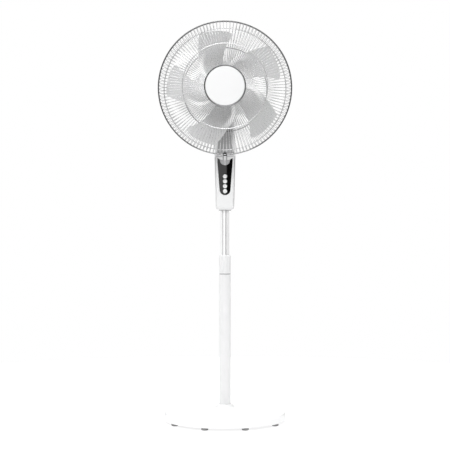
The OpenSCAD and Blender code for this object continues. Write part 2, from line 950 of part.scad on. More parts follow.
module fan_blade() {
    color("lightgray") on_fan_axis() difference() {
        union() {
            rotate_extrude() polygon([[0, hub_v[0]], [hub_r - 4, hub_v[0]], [hub_r, hub_v[0] + 4],
                [hub_r, hub_v[1]], [hub_r - 3, hub_v[1]], [hub_r - 3, hub_v[0] + 6],
                [9, hub_v[0] + 6], [9, hub_v[1]], [0, hub_v[1]]]);
            around(blade_count) blade();
        }
        rod(shaft_r, hub_v[0] - 1, hub_v[1] + 1);
        block([-11, -1.5, drive_pin_v - 1.5], [11, 1.5, hub_v[1] + 1]);
    }
}

module blade_nut() {
    color("lightgray") on_fan_axis() difference() {
        rotate_extrude() polygon(concat([[0, hub_v[0]]], [[16, hub_v[0]], [16, hub_v[0] - 10]],
            arc([6, hub_v[0] - 10], 10, 0, -90, 6), [[0, hub_v[0] - 20]]));
        rod(shaft_r, shaft_v[0], hub_v[0] + 1);
    }
}

// ---- Guards ----

front_wire_path = concat(
    [[wire_rim_r, rim_v], [wire_rim_r, rim_v - 8]],
    arc([wire_rim_r - front_bend_r, rim_v - 8], front_bend_r, -12, -front_bend_end, 6),
    [[front_ring_r, front_centre_v + 1.6], [100, front_centre_v + 0.4], [centre_ring_r, front_centre_v]]
);

rear_wire_path = concat(
    [[wire_rim_r, rim_v], [wire_rim_r, rim_v + 9]],
    arc([wire_rim_r - rear_bend_r, rim_v + 9], rear_bend_r, 15, rear_bend_end, 4),
    [[rear_ring_r, rear_plate_v[0] - 2.4], [rear_plate_r, rear_plate_v[0] + 1]]
);

module wires(path) {
    around(wire_count, 180 / wire_count) rotate([90, 0, 0])
        linear_extrude(wire_d, center = true) strip(path, wire_d);
}

module wire_ring(ring_r, v, wire_r) {
    rotate_extrude($fn = 96) translate([ring_r, v]) circle(r = wire_r, $fn = 24);
}

module front_guard_wires() {
    color("silver") on_fan_axis() wires(front_wire_path);
}

module rear_guard_wires() {
    color("silver") on_fan_axis() wires(rear_wire_path);
}

module front_guard_rings() {
    color("silver") on_fan_axis() {
        wire_ring(rim_ring_r, rim_v - rim_wire_r, rim_wire_r);
        wire_ring(front_ring_r, front_centre_v + 1.6 - wire_d / 2 - ring_wire_r - 0.05, ring_wire_r);
        tube(centre_ring_r - wire_d / 2, centre_ring_r - 6,
            front_centre_v - wire_d / 2, front_centre_v + wire_d / 2);
    }
}

// The rear rings and the plate that the guard nut clamps
module rear_guard_rings() {
    bend = [wire_rim_r - rear_bend_r, rim_v + 9];
    ring_at = bend + (rear_bend_r + wire_d / 2 + ring_wire_r + 0.05) * [cos(59), sin(59)];
    color("silver") on_fan_axis() {
        wire_ring(rim_ring_r, rim_v + rim_wire_r, rim_wire_r);
        wire_ring(ring_at[0], ring_at[1], ring_wire_r);
        wire_ring(rear_ring_r, rear_plate_v[0] - 2.4 + wire_d / 2 + ring_wire_r + 0.1, ring_wire_r);
        tube(rear_plate_r - wire_d / 2, 28.2, rear_plate_v[0], rear_plate_v[1]);
    }
}

module guard_nut() {
    color("dimgray") on_fan_axis() {
        tube(44, 28, -61, rear_plate_v[0]);
        around(6) translate([46, 0, 0]) rod(5, -61, rear_plate_v[0]);
    }
}

module trim_ring() {
    color("dimgray") on_fan_axis() {
        rod(trim_r, trim_front_v, trim_back_v);
        tube(centre_ring_r - 6.2, centre_ring_r - 9, trim_back_v, trim_clamp_v);
        tube(trim_r - 2, 40, trim_clamp_v, trim_clamp_v + 1.5);
    }
}

module centre_disc() {
    round_r = 2;
    color("white") on_fan_axis() rotate_extrude() polygon(concat(
        [[0, trim_front_v], [badge_r, trim_front_v]],
        arc([badge_r - round_r, trim_front_v - 1.5], round_r, 0, -80, 4),
        [[0, trim_front_v - 4.5]]
    ));
}

// Holds the two rims together: a body behind and below them, with a lip above the wires
module guard_clip() {
    low_z = head_z - guard_d / 2;
    half_w = 7.2;
    front_y = rim_v - 2 * rim_wire_r - 0.1;
    rear_y = rim_v + 2 * rim_wire_r + 0.1;
    wire_x = wire_rim_r * sin(180 / wire_count);
    slot_half = wire_d / 2 + 0.2;
    lip_z = low_z + 2 * rim_wire_r + wire_d + 2 * wire_gap;
    color("black") difference() {
        union() {
            block([-half_w, front_y - 3, low_z - 3.6], [half_w, rear_y + 3, low_z - 0.1]);
            block([-half_w, rear_y, low_z - 3.6], [half_w, rear_y + 3, lip_z + 2.4]);
            block([-half_w, front_y, lip_z], [half_w, rear_y + 3, lip_z + 2.4]);
        }
        for (side = [-1, 1]) translate([side * wire_x, rear_y, lip_z])
            block([-slot_half, -1, -wire_d - 0.6], [slot_half, 4, 0.1]);
    }
    color("lightgray") block([-5, front_y - 2, low_z - 16.5], [5, front_y + 4, low_z - 3.6]);
}

base_cover();
base_plate();
base_weight();
base_feet();
base_screws();
pole_foot();
pole_tube();
collar_insert();
height_collar();
inner_tube();
tube_stop();
tube_ring();
tube_socket();
socket_screw();
box_front();
box_rear();
box_screws();
control_panel();
receiver_window();
button_1();
button_2();
button_3();
button_4();
circuit_board();
tact_switches();
power_board();
inner_screws();
cord_gland();
pan_plate();
swing_motor();
swing_pinion();
swing_gear();
spindle_clip();
neck_frame();
neck_front();
neck_shell();
tilt_bolt();
tilt_nut();
motor_bracket();
motor_front_shell();
motor_rear_shell();
shell_screws();
end_shields();
tie_bolts();
bearings();
stator();
windings();
rotor_core();
motor_shaft();
drive_pin();
fan_blade();
blade_nut();
rear_guard_wires();
rear_guard_rings();
guard_nut();
front_guard_wires();
front_guard_rings();
trim_ring();
centre_disc();
guard_clip();
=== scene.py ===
"""Looks of a pedestal fan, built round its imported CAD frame.

Sizes are millimetres and degrees, and make() turns them to metres. The fan's axis runs along Y and the
air blows towards -Y. An angle round that axis is clockwise from the top, as seen from the front.
"""

import json
import math

import bmesh
import bpy
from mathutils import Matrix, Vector


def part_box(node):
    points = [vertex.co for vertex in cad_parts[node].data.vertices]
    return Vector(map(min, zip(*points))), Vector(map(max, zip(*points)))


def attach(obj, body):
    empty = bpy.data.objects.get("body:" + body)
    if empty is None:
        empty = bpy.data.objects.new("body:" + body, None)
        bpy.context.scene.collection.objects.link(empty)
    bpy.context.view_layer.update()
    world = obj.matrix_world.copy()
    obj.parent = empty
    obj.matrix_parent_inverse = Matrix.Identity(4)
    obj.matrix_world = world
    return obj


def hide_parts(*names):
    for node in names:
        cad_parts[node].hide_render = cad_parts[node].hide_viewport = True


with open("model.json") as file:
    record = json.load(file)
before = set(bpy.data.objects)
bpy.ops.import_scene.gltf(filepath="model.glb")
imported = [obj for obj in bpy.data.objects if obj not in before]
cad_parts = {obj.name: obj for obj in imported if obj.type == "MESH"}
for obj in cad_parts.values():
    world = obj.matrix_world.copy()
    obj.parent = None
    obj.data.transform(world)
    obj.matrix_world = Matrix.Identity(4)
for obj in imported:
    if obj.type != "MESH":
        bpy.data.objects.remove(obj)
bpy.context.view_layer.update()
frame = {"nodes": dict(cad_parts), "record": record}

MM = 0.001


# ---- Sizes taken from the frame ----

def box(node):
    """Lowest and highest corner of a CAD node."""
    low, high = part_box(node)
    return low / MM, high / MM


def middle(node):
    """Middle of a CAD node's box."""
    low, high = box(node)
    return (low + high) / 2


BASE_LOW, BASE_HIGH = box("base_cover")
BASE_R = BASE_HIGH.x
FEET_HIGH = box("base_feet")[1]
POLE_LOW, POLE_HIGH = box("pole_tube")
POLE_R = POLE_HIGH.x
COLLAR_LOW, COLLAR_HIGH = box("height_collar")
TUBE_LOW, TUBE_HIGH = box("inner_tube")
TUBE_R = TUBE_HIGH.x
RING_LOW, RING_HIGH = box("tube_ring")
FRONT_LOW, FRONT_HIGH = box("box_front")
REAR_HIGH = box("box_rear")[1]
PANEL_LOW, PANEL_HIGH = box("control_panel")
GLAND_LOW, GLAND_HIGH = box("cord_gland")
NECK_LOW, NECK_HIGH = box("neck_shell")
NECK_FRONT_LOW, NECK_FRONT_HIGH = box("neck_front")
SHELL_LOW, SHELL_HIGH = box("motor_rear_shell")
FACE_LOW, FACE_HIGH = box("motor_front_shell")
DISC_LOW, DISC_HIGH = box("centre_disc")
TRIM_LOW, TRIM_HIGH = box("trim_ring")
RIM_HIGH = box("front_guard_rings")[1]
NUT_LOW, NUT_HIGH = box("guard_nut")
CLIP_LOW, CLIP_HIGH = box("guard_clip")
KNOB_LOW, KNOB_HIGH = box("blade_nut")
FAN_LOW, FAN_HIGH = box("fan_blade")

AXIS_Z = middle("centre_disc").z
TILT_Y = middle("tilt_bolt").y
GLAND_Z = middle("cord_gland").z
BOX_TOP_Z = FRONT_HIGH.z
BOX_LOW_Z = FRONT_LOW.z
GUARD_R = RIM_HIGH.x


# ---- Outlines ----

def arc(centre, radius, start, end, steps):
    """Points of an arc between two angles."""
    angles = [math.radians(start + (end - start) * i / steps) for i in range(steps + 1)]
    return [(centre[0] + radius * math.cos(a), centre[1] + radius * math.sin(a)) for a in angles]


def rounded(corners, closed=False, steps=4):
    """Points of a polyline of (a, b, radius) corners, each rounded off by its radius."""
    points = []
    last = len(corners) - 1
    for i, (a, b, radius) in enumerate(corners):
        here = Vector((a, b))
        if radius == 0 or (not closed and i in (0, last)):
            points.append((a, b))
            continue
        before = Vector(corners[i - 1][:2]) - here
        after = Vector(corners[0 if i == last else i + 1][:2]) - here
        reach = radius / math.tan(before.angle(after) / 2)
        start = here + before.normalized() * min(reach, before.length * 0.49)
        end = here + after.normalized() * min(reach, after.length * 0.49)
        for k in range(steps + 1):
            t = k / steps
            point = start * (1 - t) ** 2 + here * (2 * t * (1 - t)) + end * t ** 2
            points.append((point.x, point.y))
    return points


def smooth(t):
    """Runs from 0 to 1 with level ends."""
    t = max(0.0, min(1.0, t))
    return t * t * (3 - 2 * t)


# ---- Grids of points: each returns (points, faces) ----

def grid(rows, wrap=False, ring=False):
    """Quads between rows of points; wrap joins each row's ends, ring joins the last row to the first."""
    count = len(rows[0])
    points = [p for row in rows for p in row]
    faces = []
    for i in range(len(rows) if ring else len(rows) - 1):
        low = i * count
        high = (i + 1) % len(rows) * count
        for j in range(count if wrap else count - 1):
            k = (j + 1) % count
            faces.append((low + j, low + k, high + k, high + j))
    return points, faces


def capped(part, count):
    """Closes both ends of a wrapped grid whose rows hold count points."""
    points, faces = part
    return points, faces + [tuple(range(count))[::-1], tuple(range(len(points) - count, len(points)))]


def lathe(profile, segments=128, ring=False):
    """A profile of (radius, height) turned about the Z axis."""
    rows = []
    for radius, height in profile:
        turn = [2 * math.pi * k / segments for k in range(segments)]
        rows.append([(radius * math.cos(a), radius * math.sin(a), height) for a in turn])
    return grid(rows, wrap=True, ring=ring)


def sweep(path, radius, sides, side_way):
    """A round wire along a flat path, closed at both ends; side_way is square to the path's plane."""
    rows = []
    last = len(path) - 1
    for i, point in enumerate(path):
        along = path[min(i + 1, last)] - path[max(i - 1, 0)]
        up = along.normalized().cross(side_way)
        turn = [2 * math.pi * k / sides for k in range(sides)]
        rows.append([point + up * (radius * math.cos(a)) + side_way * (radius * math.sin(a)) for a in turn])
    return capped(grid(rows, wrap=True), sides)


def block(low, high):
    """A closed box between two corners."""
    points = [(x, y, z) for x in (low[0], high[0]) for y in (low[1], high[1]) for z in (low[2], high[2])]
    return points, [(0, 1, 3, 2), (4, 6, 7, 5), (0, 4, 5, 1), (2, 3, 7, 6), (0, 2, 6, 4), (1, 5, 7, 3)]


def prism(outline, front_y, back_y):
    """A closed part drawn in X and Z, between two depths."""
    count = len(outline)
    points = [(x, front_y, z) for x, z in outline] + [(x, back_y, z) for x, z in outline]
    faces = [(k, (k + 1) % count, count + (k + 1) % count, count + k) for k in range(count)]
    return points, faces + [tuple(range(count)), tuple(range(2 * count - 1, count - 1, -1))]


def together(parts):
    """Joins several (points, faces) into one."""
    points, faces = [], []
    for part_points, part_faces in parts:
        start = len(points)
        points.extend(part_points)
        faces.extend(tuple(start + i for i in face) for face in part_faces)
    return points, faces


def moved(part, change):
    """The same faces with every point passed through change."""
    return [change(Vector(p)) for p in part[0]], part[1]


def scaled(p, scale):
    """A point brought nearer to the Z axis or farther from it."""
    return Vector((p.x * scale, p.y * scale, p.z))


def on_fan_axis(part):
    """Turns a lathe's Z axis to the fan's axis."""
    return moved(part, lambda p: Vector((p.x, p.z, AXIS_Z - p.y)))


def shifted(part, x, y):
    """The same part at another place on the floor."""
    return moved(part, lambda p: p + Vector((x, y, 0)))


def facing_front(part, x=0, y=0, z=0):
    """Turns a lathe's Z axis to -Y and moves its origin."""
    return moved(part, lambda p: Vector((x + p.x, y - p.z, z + p.y)))


def at_clock(angle, radius, v):
    """The point at an angle, a radius and a place along the fan's axis."""
    a = math.radians(angle)
    return Vector((radius * math.sin(a), v, AXIS_Z + radius * math.cos(a)))


# ---- Materials ----

# Every material by its name
FINISH = {}
# Factors act between these two, which noise seldom leaves
FACTOR_LOW, FACTOR_HIGH = 0.3, 0.7
# Draws a noise out along Z
ALONG_Z = (1, 1, 0.02)
# Blade grey at the hub, darkened there as painted shade, and the lighter grey at the tips
BLADE_ROOT_SHADE = (0.54, 0.542, 0.545)
BLADE_TIP = (0.67, 0.672, 0.675)


def new_material(name, **sockets):
    """Adds a Principled material to FINISH; returns its node tree, shader and Object coordinates."""
    material = bpy.data.materials.new(name)
    FINISH[name] = material
    material.use_nodes = True
    tree = material.node_tree
    shader = tree.nodes["Principled BSDF"]
    for socket, value in sockets.items():
        shader.inputs[socket.replace("_", " ").title()].default_value = value
    coords = tree.nodes.new("ShaderNodeTexCoord").outputs["Object"]
    return tree, shader, coords


def noise_node(tree, coords, scale, detail, stretch=(1, 1, 1)):
    """Noise between 0 and 1, in object space."""
    mapping = tree.nodes.new("ShaderNodeMapping")
    mapping.inputs["Scale"].default_value = stretch
    tree.links.new(coords, mapping.inputs["Vector"])
    noise = tree.nodes.new("ShaderNodeTexNoise")
    noise.inputs["Scale"].default_value = scale
    noise.inputs["Detail"].default_value = detail
    tree.links.new(mapping.outputs["Vector"], noise.inputs["Vector"])
    return noise.outputs["Fac"]


def mapped(tree, value, start, end, low=0.0, high=1.0, kind="LINEAR"):
    """A socket that runs from low to high while the value runs from start to end."""
    span = tree.nodes.new("ShaderNodeMapRange")
    span.interpolation_type = kind
    span.inputs["From Min"].default_value = start
    span.inputs["From Max"].default_value = end
    span.inputs["To Min"].default_value = low
    span.inputs["To Max"].default_value = high
    tree.links.new(value, span.inputs["Value"])
    return span.outputs["Result"]


def worked_out(tree, operation, first, second):
    """A math node's result; the first value is a socket, the second a socket or a number."""
    node = tree.nodes.new("ShaderNodeMath")
    node.operation = operation
    tree.links.new(first, node.inputs[0])
    if isinstance(second, int):
        node.inputs[1].default_value = second
    else:
        tree.links.new(second, node.inputs[1])
    return node.outputs["Value"]


def axes_of(tree, vector):
    """The X, Y and Z sockets of a vector socket."""
    split = tree.nodes.new("ShaderNodeSeparateXYZ")
    tree.links.new(vector, split.inputs["Vector"])
    return split.outputs


def spread(tree, factor, socket, low, high):
    """Drives a number socket between two values by a factor."""
    tree.links.new(mapped(tree, factor, FACTOR_LOW, FACTOR_HIGH, low, high), socket)


def tint(tree, factor, socket, dark, light):
    """Drives a colour socket between two colours by a factor."""
    ramp = tree.nodes.new("ShaderNodeValToRGB")
    start, end = ramp.color_ramp.elements
    start.position, end.position = FACTOR_LOW, FACTOR_HIGH
    start.color, end.color = (*dark, 1), (*light, 1)
    tree.links.new(factor, ramp.inputs["Fac"])
    tree.links.new(ramp.outputs["Color"], socket)


def clouded(tree, factor, shader, color, vary):
    """Varies the base colour a little to both sides."""
    tint(tree, factor, shader.inputs["Base Color"], [c * (1 - vary) for c in color],
         [min(1, c * (1 + vary)) for c in color])


def relief(tree, factor, shader, depth):
    """Bump of a given depth in millimetres."""
    bump = tree.nodes.new("ShaderNodeBump")
    bump.inputs["Strength"].default_value = 1.0
    bump.inputs["Distance"].default_value = depth * MM
    tree.links.new(factor, bump.inputs["Height"])
    tree.links.new(bump.outputs["Normal"], shader.inputs["Normal"])


def moulded(name, color, roughness, coat=0.0, grain=900, depth=0.002, vary=0.015, gloss=0.12, **sockets):
    """Moulded plastic, rubber or paint: faint clouding, uneven gloss and a fine grain."""
    tree, shader, coords = new_material(name, coat_weight=coat, coat_roughness=0.08, **sockets)
    clouded(tree, noise_node(tree, coords, 9, 3), shader, color, vary)
    spread(tree, noise_node(tree, coords, 40, 2), shader.inputs["Roughness"],
           roughness * (1 - gloss), roughness * (1 + gloss))
    relief(tree, noise_node(tree, coords, grain, 1), shader, depth)


def metal(name, color, roughness, grain=600, stretch=(1, 1, 1), depth=0.001, vary=0.04, share=1.0):
    """Bare or plated metal with drawn, turned or cast marks."""
    tree, shader, coords = new_material(name, metallic=share)
    marks = noise_node(tree, coords, grain, 3, stretch)
    clouded(tree, noise_node(tree, coords, 12, 3), shader, color, vary)
    spread(tree, marks, shader.inputs["Roughness"], roughness * 0.8, roughness * 1.2)
    relief(tree, marks, shader, depth)


def blade_finish():
    """Grey blade plastic with painted shade that darkens it towards the hub, and a painted highlight with a
    faint glow along the thin lips by the hub.
    """
    tree, shader, coords = new_material("fan_blades", coat_weight=0.2, metallic=0.05)

    def share(value, start, end):
        """Runs from 0 to 1 between two lengths in millimetres."""
        return mapped(tree, value, start * MM, end * MM)

    axes = axes_of(tree, coords)
    flat = tree.nodes.new("ShaderNodeCombineXYZ")
    tree.links.new(axes["X"], flat.inputs["X"])
    tree.links.new(axes["Z"], flat.inputs["Z"])
    from_axis = tree.nodes.new("ShaderNodeVectorMath")
    from_axis.operation = "DISTANCE"
    from_axis.inputs[1].default_value = (0, 0, AXIS_Z * MM)
    tree.links.new(flat.outputs["Vector"], from_axis.inputs[0])
    radius = from_axis.outputs["Value"]
    # Painted shade: the grey darkens from the tips in to the hub
    tint(tree, share(radius, 80, 172), shader.inputs["Base Color"], BLADE_ROOT_SHADE, BLADE_TIP)
    hub_shaded = shader.inputs["Base Color"].links[0].from_socket
    # Painted highlight: the lips near the hub are mixed towards white and glow a little
    lip = worked_out(tree, "MULTIPLY", share(radius, 136, 105),
                     share(axes["Y"], FAN_LOW.y + 24, FAN_LOW.y + 15))
    mix = tree.nodes.new("ShaderNodeMix")
    mix.data_type = "RGBA"
    tree.links.new(lip, mix.inputs["Factor"])
    tree.links.new(hub_shaded, mix.inputs["A"])
    mix.inputs["B"].default_value = (1, 1, 1, 1)
    tree.links.new(mix.outputs["Result"], shader.inputs["Base Color"])
    tree.links.new(lip, shader.inputs["Emission Strength"])
    shader.inputs["Emission Color"].default_value = (0.28, 0.28, 0.28, 1)
    spread(tree, noise_node(tree, coords, 40, 2), shader.inputs["Roughness"], 0.33, 0.39)


def rim_with_painted_foot_light(dark, light):
    """Bright metal of the guard's rim, painted paler near the clip at its foot as though lit from below."""
    tree, shader, coords = new_material("rim", metallic=1.0, roughness=0.25)
    foot_z, upper_z = AXIS_Z - GUARD_R, AXIS_Z - GUARD_R * 0.8
    # Painted light: the rim's colour pales towards its foot, as though lit from the floor
    height = mapped(tree, axes_of(tree, coords)["Z"], foot_z * MM, upper_z * MM, kind="SMOOTHSTEP")
    tint(tree, height, shader.inputs["Base Color"], light, dark)
    spread(tree, noise_node(tree, coords, 300, 2), shader.inputs["Roughness"], 0.2, 0.3)


moulded("white_plastic", (0.80, 0.802, 0.805), 0.3, coat=0.3, depth=0.0, vary=0.005, gloss=0.03)
# Painted light: a paler copy of the white plastic with a faint glow, so that the base reads brightly lit
moulded("base_white_glow", (0.88, 0.882, 0.885), 0.3, coat=0.3, depth=0.0, vary=0.005, gloss=0.03,
        emission_strength=0.03)
moulded("white_paint", (0.80, 0.802, 0.805), 0.34, coat=0.2, grain=500, depth=0.002)
# Painted light: the plate's paint glows, to lift it out of the blades' shade
moulded("plate_white_glow", (0.86, 0.862, 0.865), 0.34, coat=0.2, emission_strength=0.12)
moulded("black_gloss", (0.004, 0.004, 0.004), 0.02, grain=60, depth=0.0, vary=0.1)
moulded("neck_grey", (0.42, 0.42, 0.423), 0.3, coat=0.3)
moulded("window_grey", (0.42, 0.422, 0.425), 0.2, coat=0.3)
moulded("black_plastic", (0.022, 0.022, 0.023), 0.42, grain=1400, depth=0.008)
moulded("grey_blade", (0.68, 0.682, 0.685), 0.25, coat=0.5, depth=0.0001, metallic=0.15)
metal("guard_wire", (0.66, 0.66, 0.663), 0.28)
metal("trim_dark", (0.2, 0.2, 0.205), 0.25)
metal("chrome_tube", (0.93, 0.93, 0.935), 0.06, 1500, ALONG_Z, 0.0001, 0.01, 0.46)
moulded("rubber_black", (0.24, 0.24, 0.24), 0.75, grain=1800, depth=0.015)
metal("steel", (0.56, 0.56, 0.57), 0.28, 900)
moulded("plate_steel", (0.10, 0.10, 0.105), 0.5, grain=700, depth=0.01)
metal("iron_weight", (0.20, 0.20, 0.20), 0.6, 350, depth=0.05, vary=0.15)
metal("alloy", (0.62, 0.62, 0.63), 0.42, 500, depth=0.02, vary=0.06)
moulded("board_green", (0.03, 0.16, 0.07), 0.45, grain=250, depth=0.02, vary=0.2)
moulded("white_nylon", (0.80, 0.80, 0.77), 0.45)
metal("bronze", (0.60, 0.40, 0.18), 0.45, 800, depth=0.02, vary=0.1)
metal("lamination", (0.35, 0.35, 0.37), 0.4, 900, (0.05, 1, 0.05), 0.02)
blade_finish()
rim_with_painted_foot_light((0.165, 0.165, 0.167), (0.34, 0.34, 0.342))
metal("copper", (0.70, 0.32, 0.14), 0.3, 700, depth=0.03, vary=0.1)


# ---- Pieces ----

def make(name, part, slot, finish=None):
    """A mesh object from points and faces in millimetres.

    Its material is the slot's own one, unless finish names another.
    """
    points, faces = part
    mesh = bpy.data.meshes.new(name)
    mesh.from_pydata([Vector(p) * MM for p in points], [], faces)
    work = bmesh.new()
    work.from_mesh(mesh)
    bmesh.ops.remove_doubles(work, verts=work.verts, dist=1e-6)
    bmesh.ops.dissolve_degenerate(work, edges=work.edges, dist=1e-7)
    bmesh.ops.recalc_face_normals(work, faces=work.faces)
    work.to_mesh(mesh)
    work.free()
    mesh.materials.append(FINISH[finish or slot])
    piece = bpy.data.objects.new(name, mesh)
    bpy.context.collection.objects.link(piece)
    return piece


def bake(piece):
    """Applies the piece's modifiers."""
    graph = bpy.context.evaluated_depsgraph_get()
    mesh = bpy.data.meshes.new_from_object(piece.evaluated_get(graph))
    piece.modifiers.clear()
    piece.data = mesh


def thicken(piece, wall, offset=-1, even=True):
    """Gives an open skin a wall, inwards unless offset says otherwise."""
    solid = piece.modifiers.new("wall", "SOLIDIFY")
    solid.thickness = wall * MM
    solid.offset = offset
    solid.use_even_offset = even
    bake(piece)


def ease(piece, width, segments=2, limit=50):
    """Rounds the edges that are sharper than the limit."""
    bevel = piece.modifiers.new("ease", "BEVEL")
    bevel.width = width * MM
    bevel.segments = segments
    bevel.limit_method = "ANGLE"
    bevel.angle_limit = math.radians(limit)
    bake(piece)


def cut(piece, cutter, operation="DIFFERENCE", crossing=False):
    """Cuts a closed part out of the piece, or keeps only what lies in it.

    With crossing, the piece's own wall may meet itself.
    """
    tool = make("cutter", cutter, "steel")
    boolean = piece.modifiers.new("cut", "BOOLEAN")
    boolean.operation = operation
    boolean.solver = "EXACT"
    boolean.use_self = crossing
    boolean.object = tool
    bake(piece)
    bpy.data.objects.remove(tool)


def copy_of(piece, name, slot):
    """A second piece with the same mesh."""
    twin = bpy.data.objects.new(name, piece.data.copy())
    twin.data.materials[0] = FINISH[slot]
    bpy.context.collection.objects.link(twin)
    return twin


def place(piece, body, *nodes, sharp=38):
    """Shades the piece, gives it to a body and hides the CAD nodes that it stands for."""
    piece.data.shade_smooth()
    piece.data.set_sharp_from_angle(angle=math.radians(sharp))
    weigh = piece.modifiers.new("even_shading", "WEIGHTED_NORMAL")
    weigh.keep_sharp = True
    bake(piece)
    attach(piece, body)
    if nodes:
        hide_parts(*nodes)


# ---- Base and pole ----

def base_cover():
    """The round foot: a short skirt, a low dome and a socket round the pole."""
    wall = 3
    edge_r = 7
    low, high = BASE_LOW.z, BASE_HIGH.z
    rim_r = BASE_R - edge_r
    dome_inner_r = 46
    rise = 16
    rim_z = 32

    def dome(radius):
        """Height of the dome at a radius."""
        return rim_z + rise * (1 - (max(radius - dome_inner_r, 0) / (rim_r - dome_inner_r)) ** 2)

    slope = [(r, dome(r)) for r in [rim_r - i * (rim_r - 60) / 24 for i in range(25)]]
    outer = rounded([(BASE_R - 1.5, low, 0), (BASE_R, low + 1.5, 0.5), (BASE_R, low + 10, 0)])
    outer += arc((rim_r, rim_z - edge_r), edge_r, 0, 80, 10) + slope
    outer += rounded([(54, dome(54), 0), (POLE_R + 15, dome(0) + 1, 10), (POLE_R + 7.5, dome(0) + 5, 5),
                      (POLE_R + 6, high - 3, 3), (POLE_R + 5.2, high, 1.2), (POLE_R + 1, high, 0.6),
                      (POLE_R + 0.4, high - 2, 0)])
    inner = [(POLE_R + 0.4, dome(0) - wall)]
    inner += [(r, dome(r) - wall) for r, _ in reversed(slope)]
    inner += arc((rim_r, rim_z - edge_r), edge_r - wall, 80, 0, 6) + [(BASE_R - wall, low)]
    piece = make("base_cover_skin", lathe(outer + inner, 192, ring=True), "white_plastic", "base_white_glow")
    place(piece, "stand", "base_cover", sharp=50)


def base_feet():
    """Rubber feet in a ring, the first one at the back."""
    ring_r = 190
    count = 9
    top = BASE_LOW.z
    angles = [math.radians(90 + k * 360 / count) for k in range(count)]
    radius = FEET_HIGH.x - ring_r * math.cos(math.radians(10))
    profile = rounded([(0, 1.0, 0), (5, 1.0, 0), (6, 0, 0.4), (radius - 3, 0, 0.4), (radius - 1, 0.6, 1.0),
                       (radius, 3, 2), (radius, top, 0.4), (radius - 4, top, 0), (0, top, 0)])
    foot = lathe(profile, 40)
    feet = [shifted(foot, ring_r * math.cos(a), ring_r * math.sin(a)) for a in angles]
    place(make("rubber_feet", together(feet), "rubber_black"), "stand", "base_feet")


def pole_tube():
    """The painted outer pole."""
    low, high = POLE_LOW.z, POLE_HIGH.z
    bore_r = POLE_R - 1.5
    profile = rounded([(POLE_R, low, 0), (POLE_R, high, 0.6), (bore_r, high, 0), (bore_r, low, 0)])
    place(make("pole_skin", lathe(profile, 96, ring=True), "white_paint"), "stand", "pole_tube")


def collar_seam():
    """The dark flange between the pole and the collar."""
    low, high = POLE_HIGH.z, COLLAR_LOW.z - 0.3
    radius = POLE_R - 0.5
    profile = rounded([(TUBE_R + 0.3, low - 20, 0), (POLE_R - 1.6, low - 20, 0), (POLE_R - 1.6, low, 0),
                       (radius, low, 0.4), (radius, high, 0.4), (TUBE_R + 0.3, high, 0)])
    place(make("collar_seam", lathe(profile, 96, ring=True), "window_grey"), "stand", "collar_insert")


def height_collar():
    """The grip that clamps the inner tube, with shallow flutes round it."""
    low, high = COLLAR_LOW.z, COLLAR_HIGH.z
    radius = COLLAR_HIGH.x
    flutes = 12
    depth = 0.9
    round_r = 5.5
    steps = 24
    lip_r, bore_r = TUBE_R + 0.5, TUBE_R + 2.8
    side_z = low + 3
    side_h = high - round_r - side_z
    profile = rounded([(bore_r, low, 0), (radius - 0.8, low, 0), (radius, low + 0.8, 0.4),
                       (radius, side_z, 0)])
    profile += [(radius, side_z + k * side_h / steps) for k in range(1, steps + 1)]
    profile += arc((radius - round_r, high - round_r), round_r, 8, 90, 8)
    profile += [(lip_r, high), (lip_r, high - 10), (bore_r, high - 11)]

    def fluted(p):
        """Draws a point in where it lies in a flute."""
        reach = smooth((p.z - low - 4) / 4) * smooth((high - 11 - p.z) / 5)
        valley = max(0.0, math.cos(flutes * math.atan2(p.y, p.x))) ** 3
        outer = math.hypot(p.x, p.y)
        return scaled(p, 1 - depth * reach * valley / outer if outer > TUBE_R + 3 else 1)

    part = moved(lathe(profile, 144, ring=True), fluted)
    place(make("collar_grip", part, "white_plastic"), "collar", "height_collar")


def inner_tube():
    """The chromed tube that slides in the pole."""
    low, high = TUBE_LOW.z, TUBE_HIGH.z
    bore_r = TUBE_R - 1.5
    profile = [(TUBE_R, low), (TUBE_R, high), (bore_r, high), (bore_r, low)]
    place(make("chrome_tube_skin", lathe(profile, 128, ring=True), "chrome_tube"), "column", "inner_tube")


def tube_ring():
    """The grey ring where the tube enters the control box."""
    low, high = RING_LOW.z, RING_HIGH.z
    radius = RING_HIGH.x
    bore_r = TUBE_R + 0.15
    profile = rounded([(bore_r, low, 0), (radius - 1.2, low, 1), (radius, low + 1.2, 0.8),
                       (radius, high, 0), (bore_r, high, 0)], closed=True)
    place(make("tube_seal", lathe(profile, 96, ring=True), "window_grey"), "column", "tube_ring")


# ---- Control box and neck ----

FACE_STEPS = 5
CORNER_STEPS = 16
SIDE_STEPS = 6
BOX_SEAM_Y = -8
SEAM_GAP = 0.35


def ring_points(half_w, front, rear, radius, z, front_radius=None):
    """A level rounded rectangle, from the middle of its front round by +X and back to the front."""
    nose = front_radius or radius
    right = [((half_w - nose) * k / FACE_STEPS, front) for k in range(FACE_STEPS)]
    right += arc((half_w - nose, front + nose), nose, -90, 0, CORNER_STEPS)
    reach = rear - front - nose - radius
    right += [(half_w, front + nose + reach * k / SIDE_STEPS) for k in range(1, SIDE_STEPS)]
    right += arc((half_w - radius, rear - radius), radius, 0, 90, CORNER_STEPS)
    right += [((half_w - radius) * k / FACE_STEPS, rear) for k in reversed(range(FACE_STEPS))]
    left = [(-x, y) for x, y in reversed(right[1:-1])]
    return [(x, y, z) for x, y in right + left]


def hole_points(row, radius, z):
    """A circle round the Z axis with one point for each point of a row."""
    headings = [math.atan2(y, x) for x, y, _ in row]
    return [(radius * math.cos(a), radius * math.sin(a), z) for a in headings]


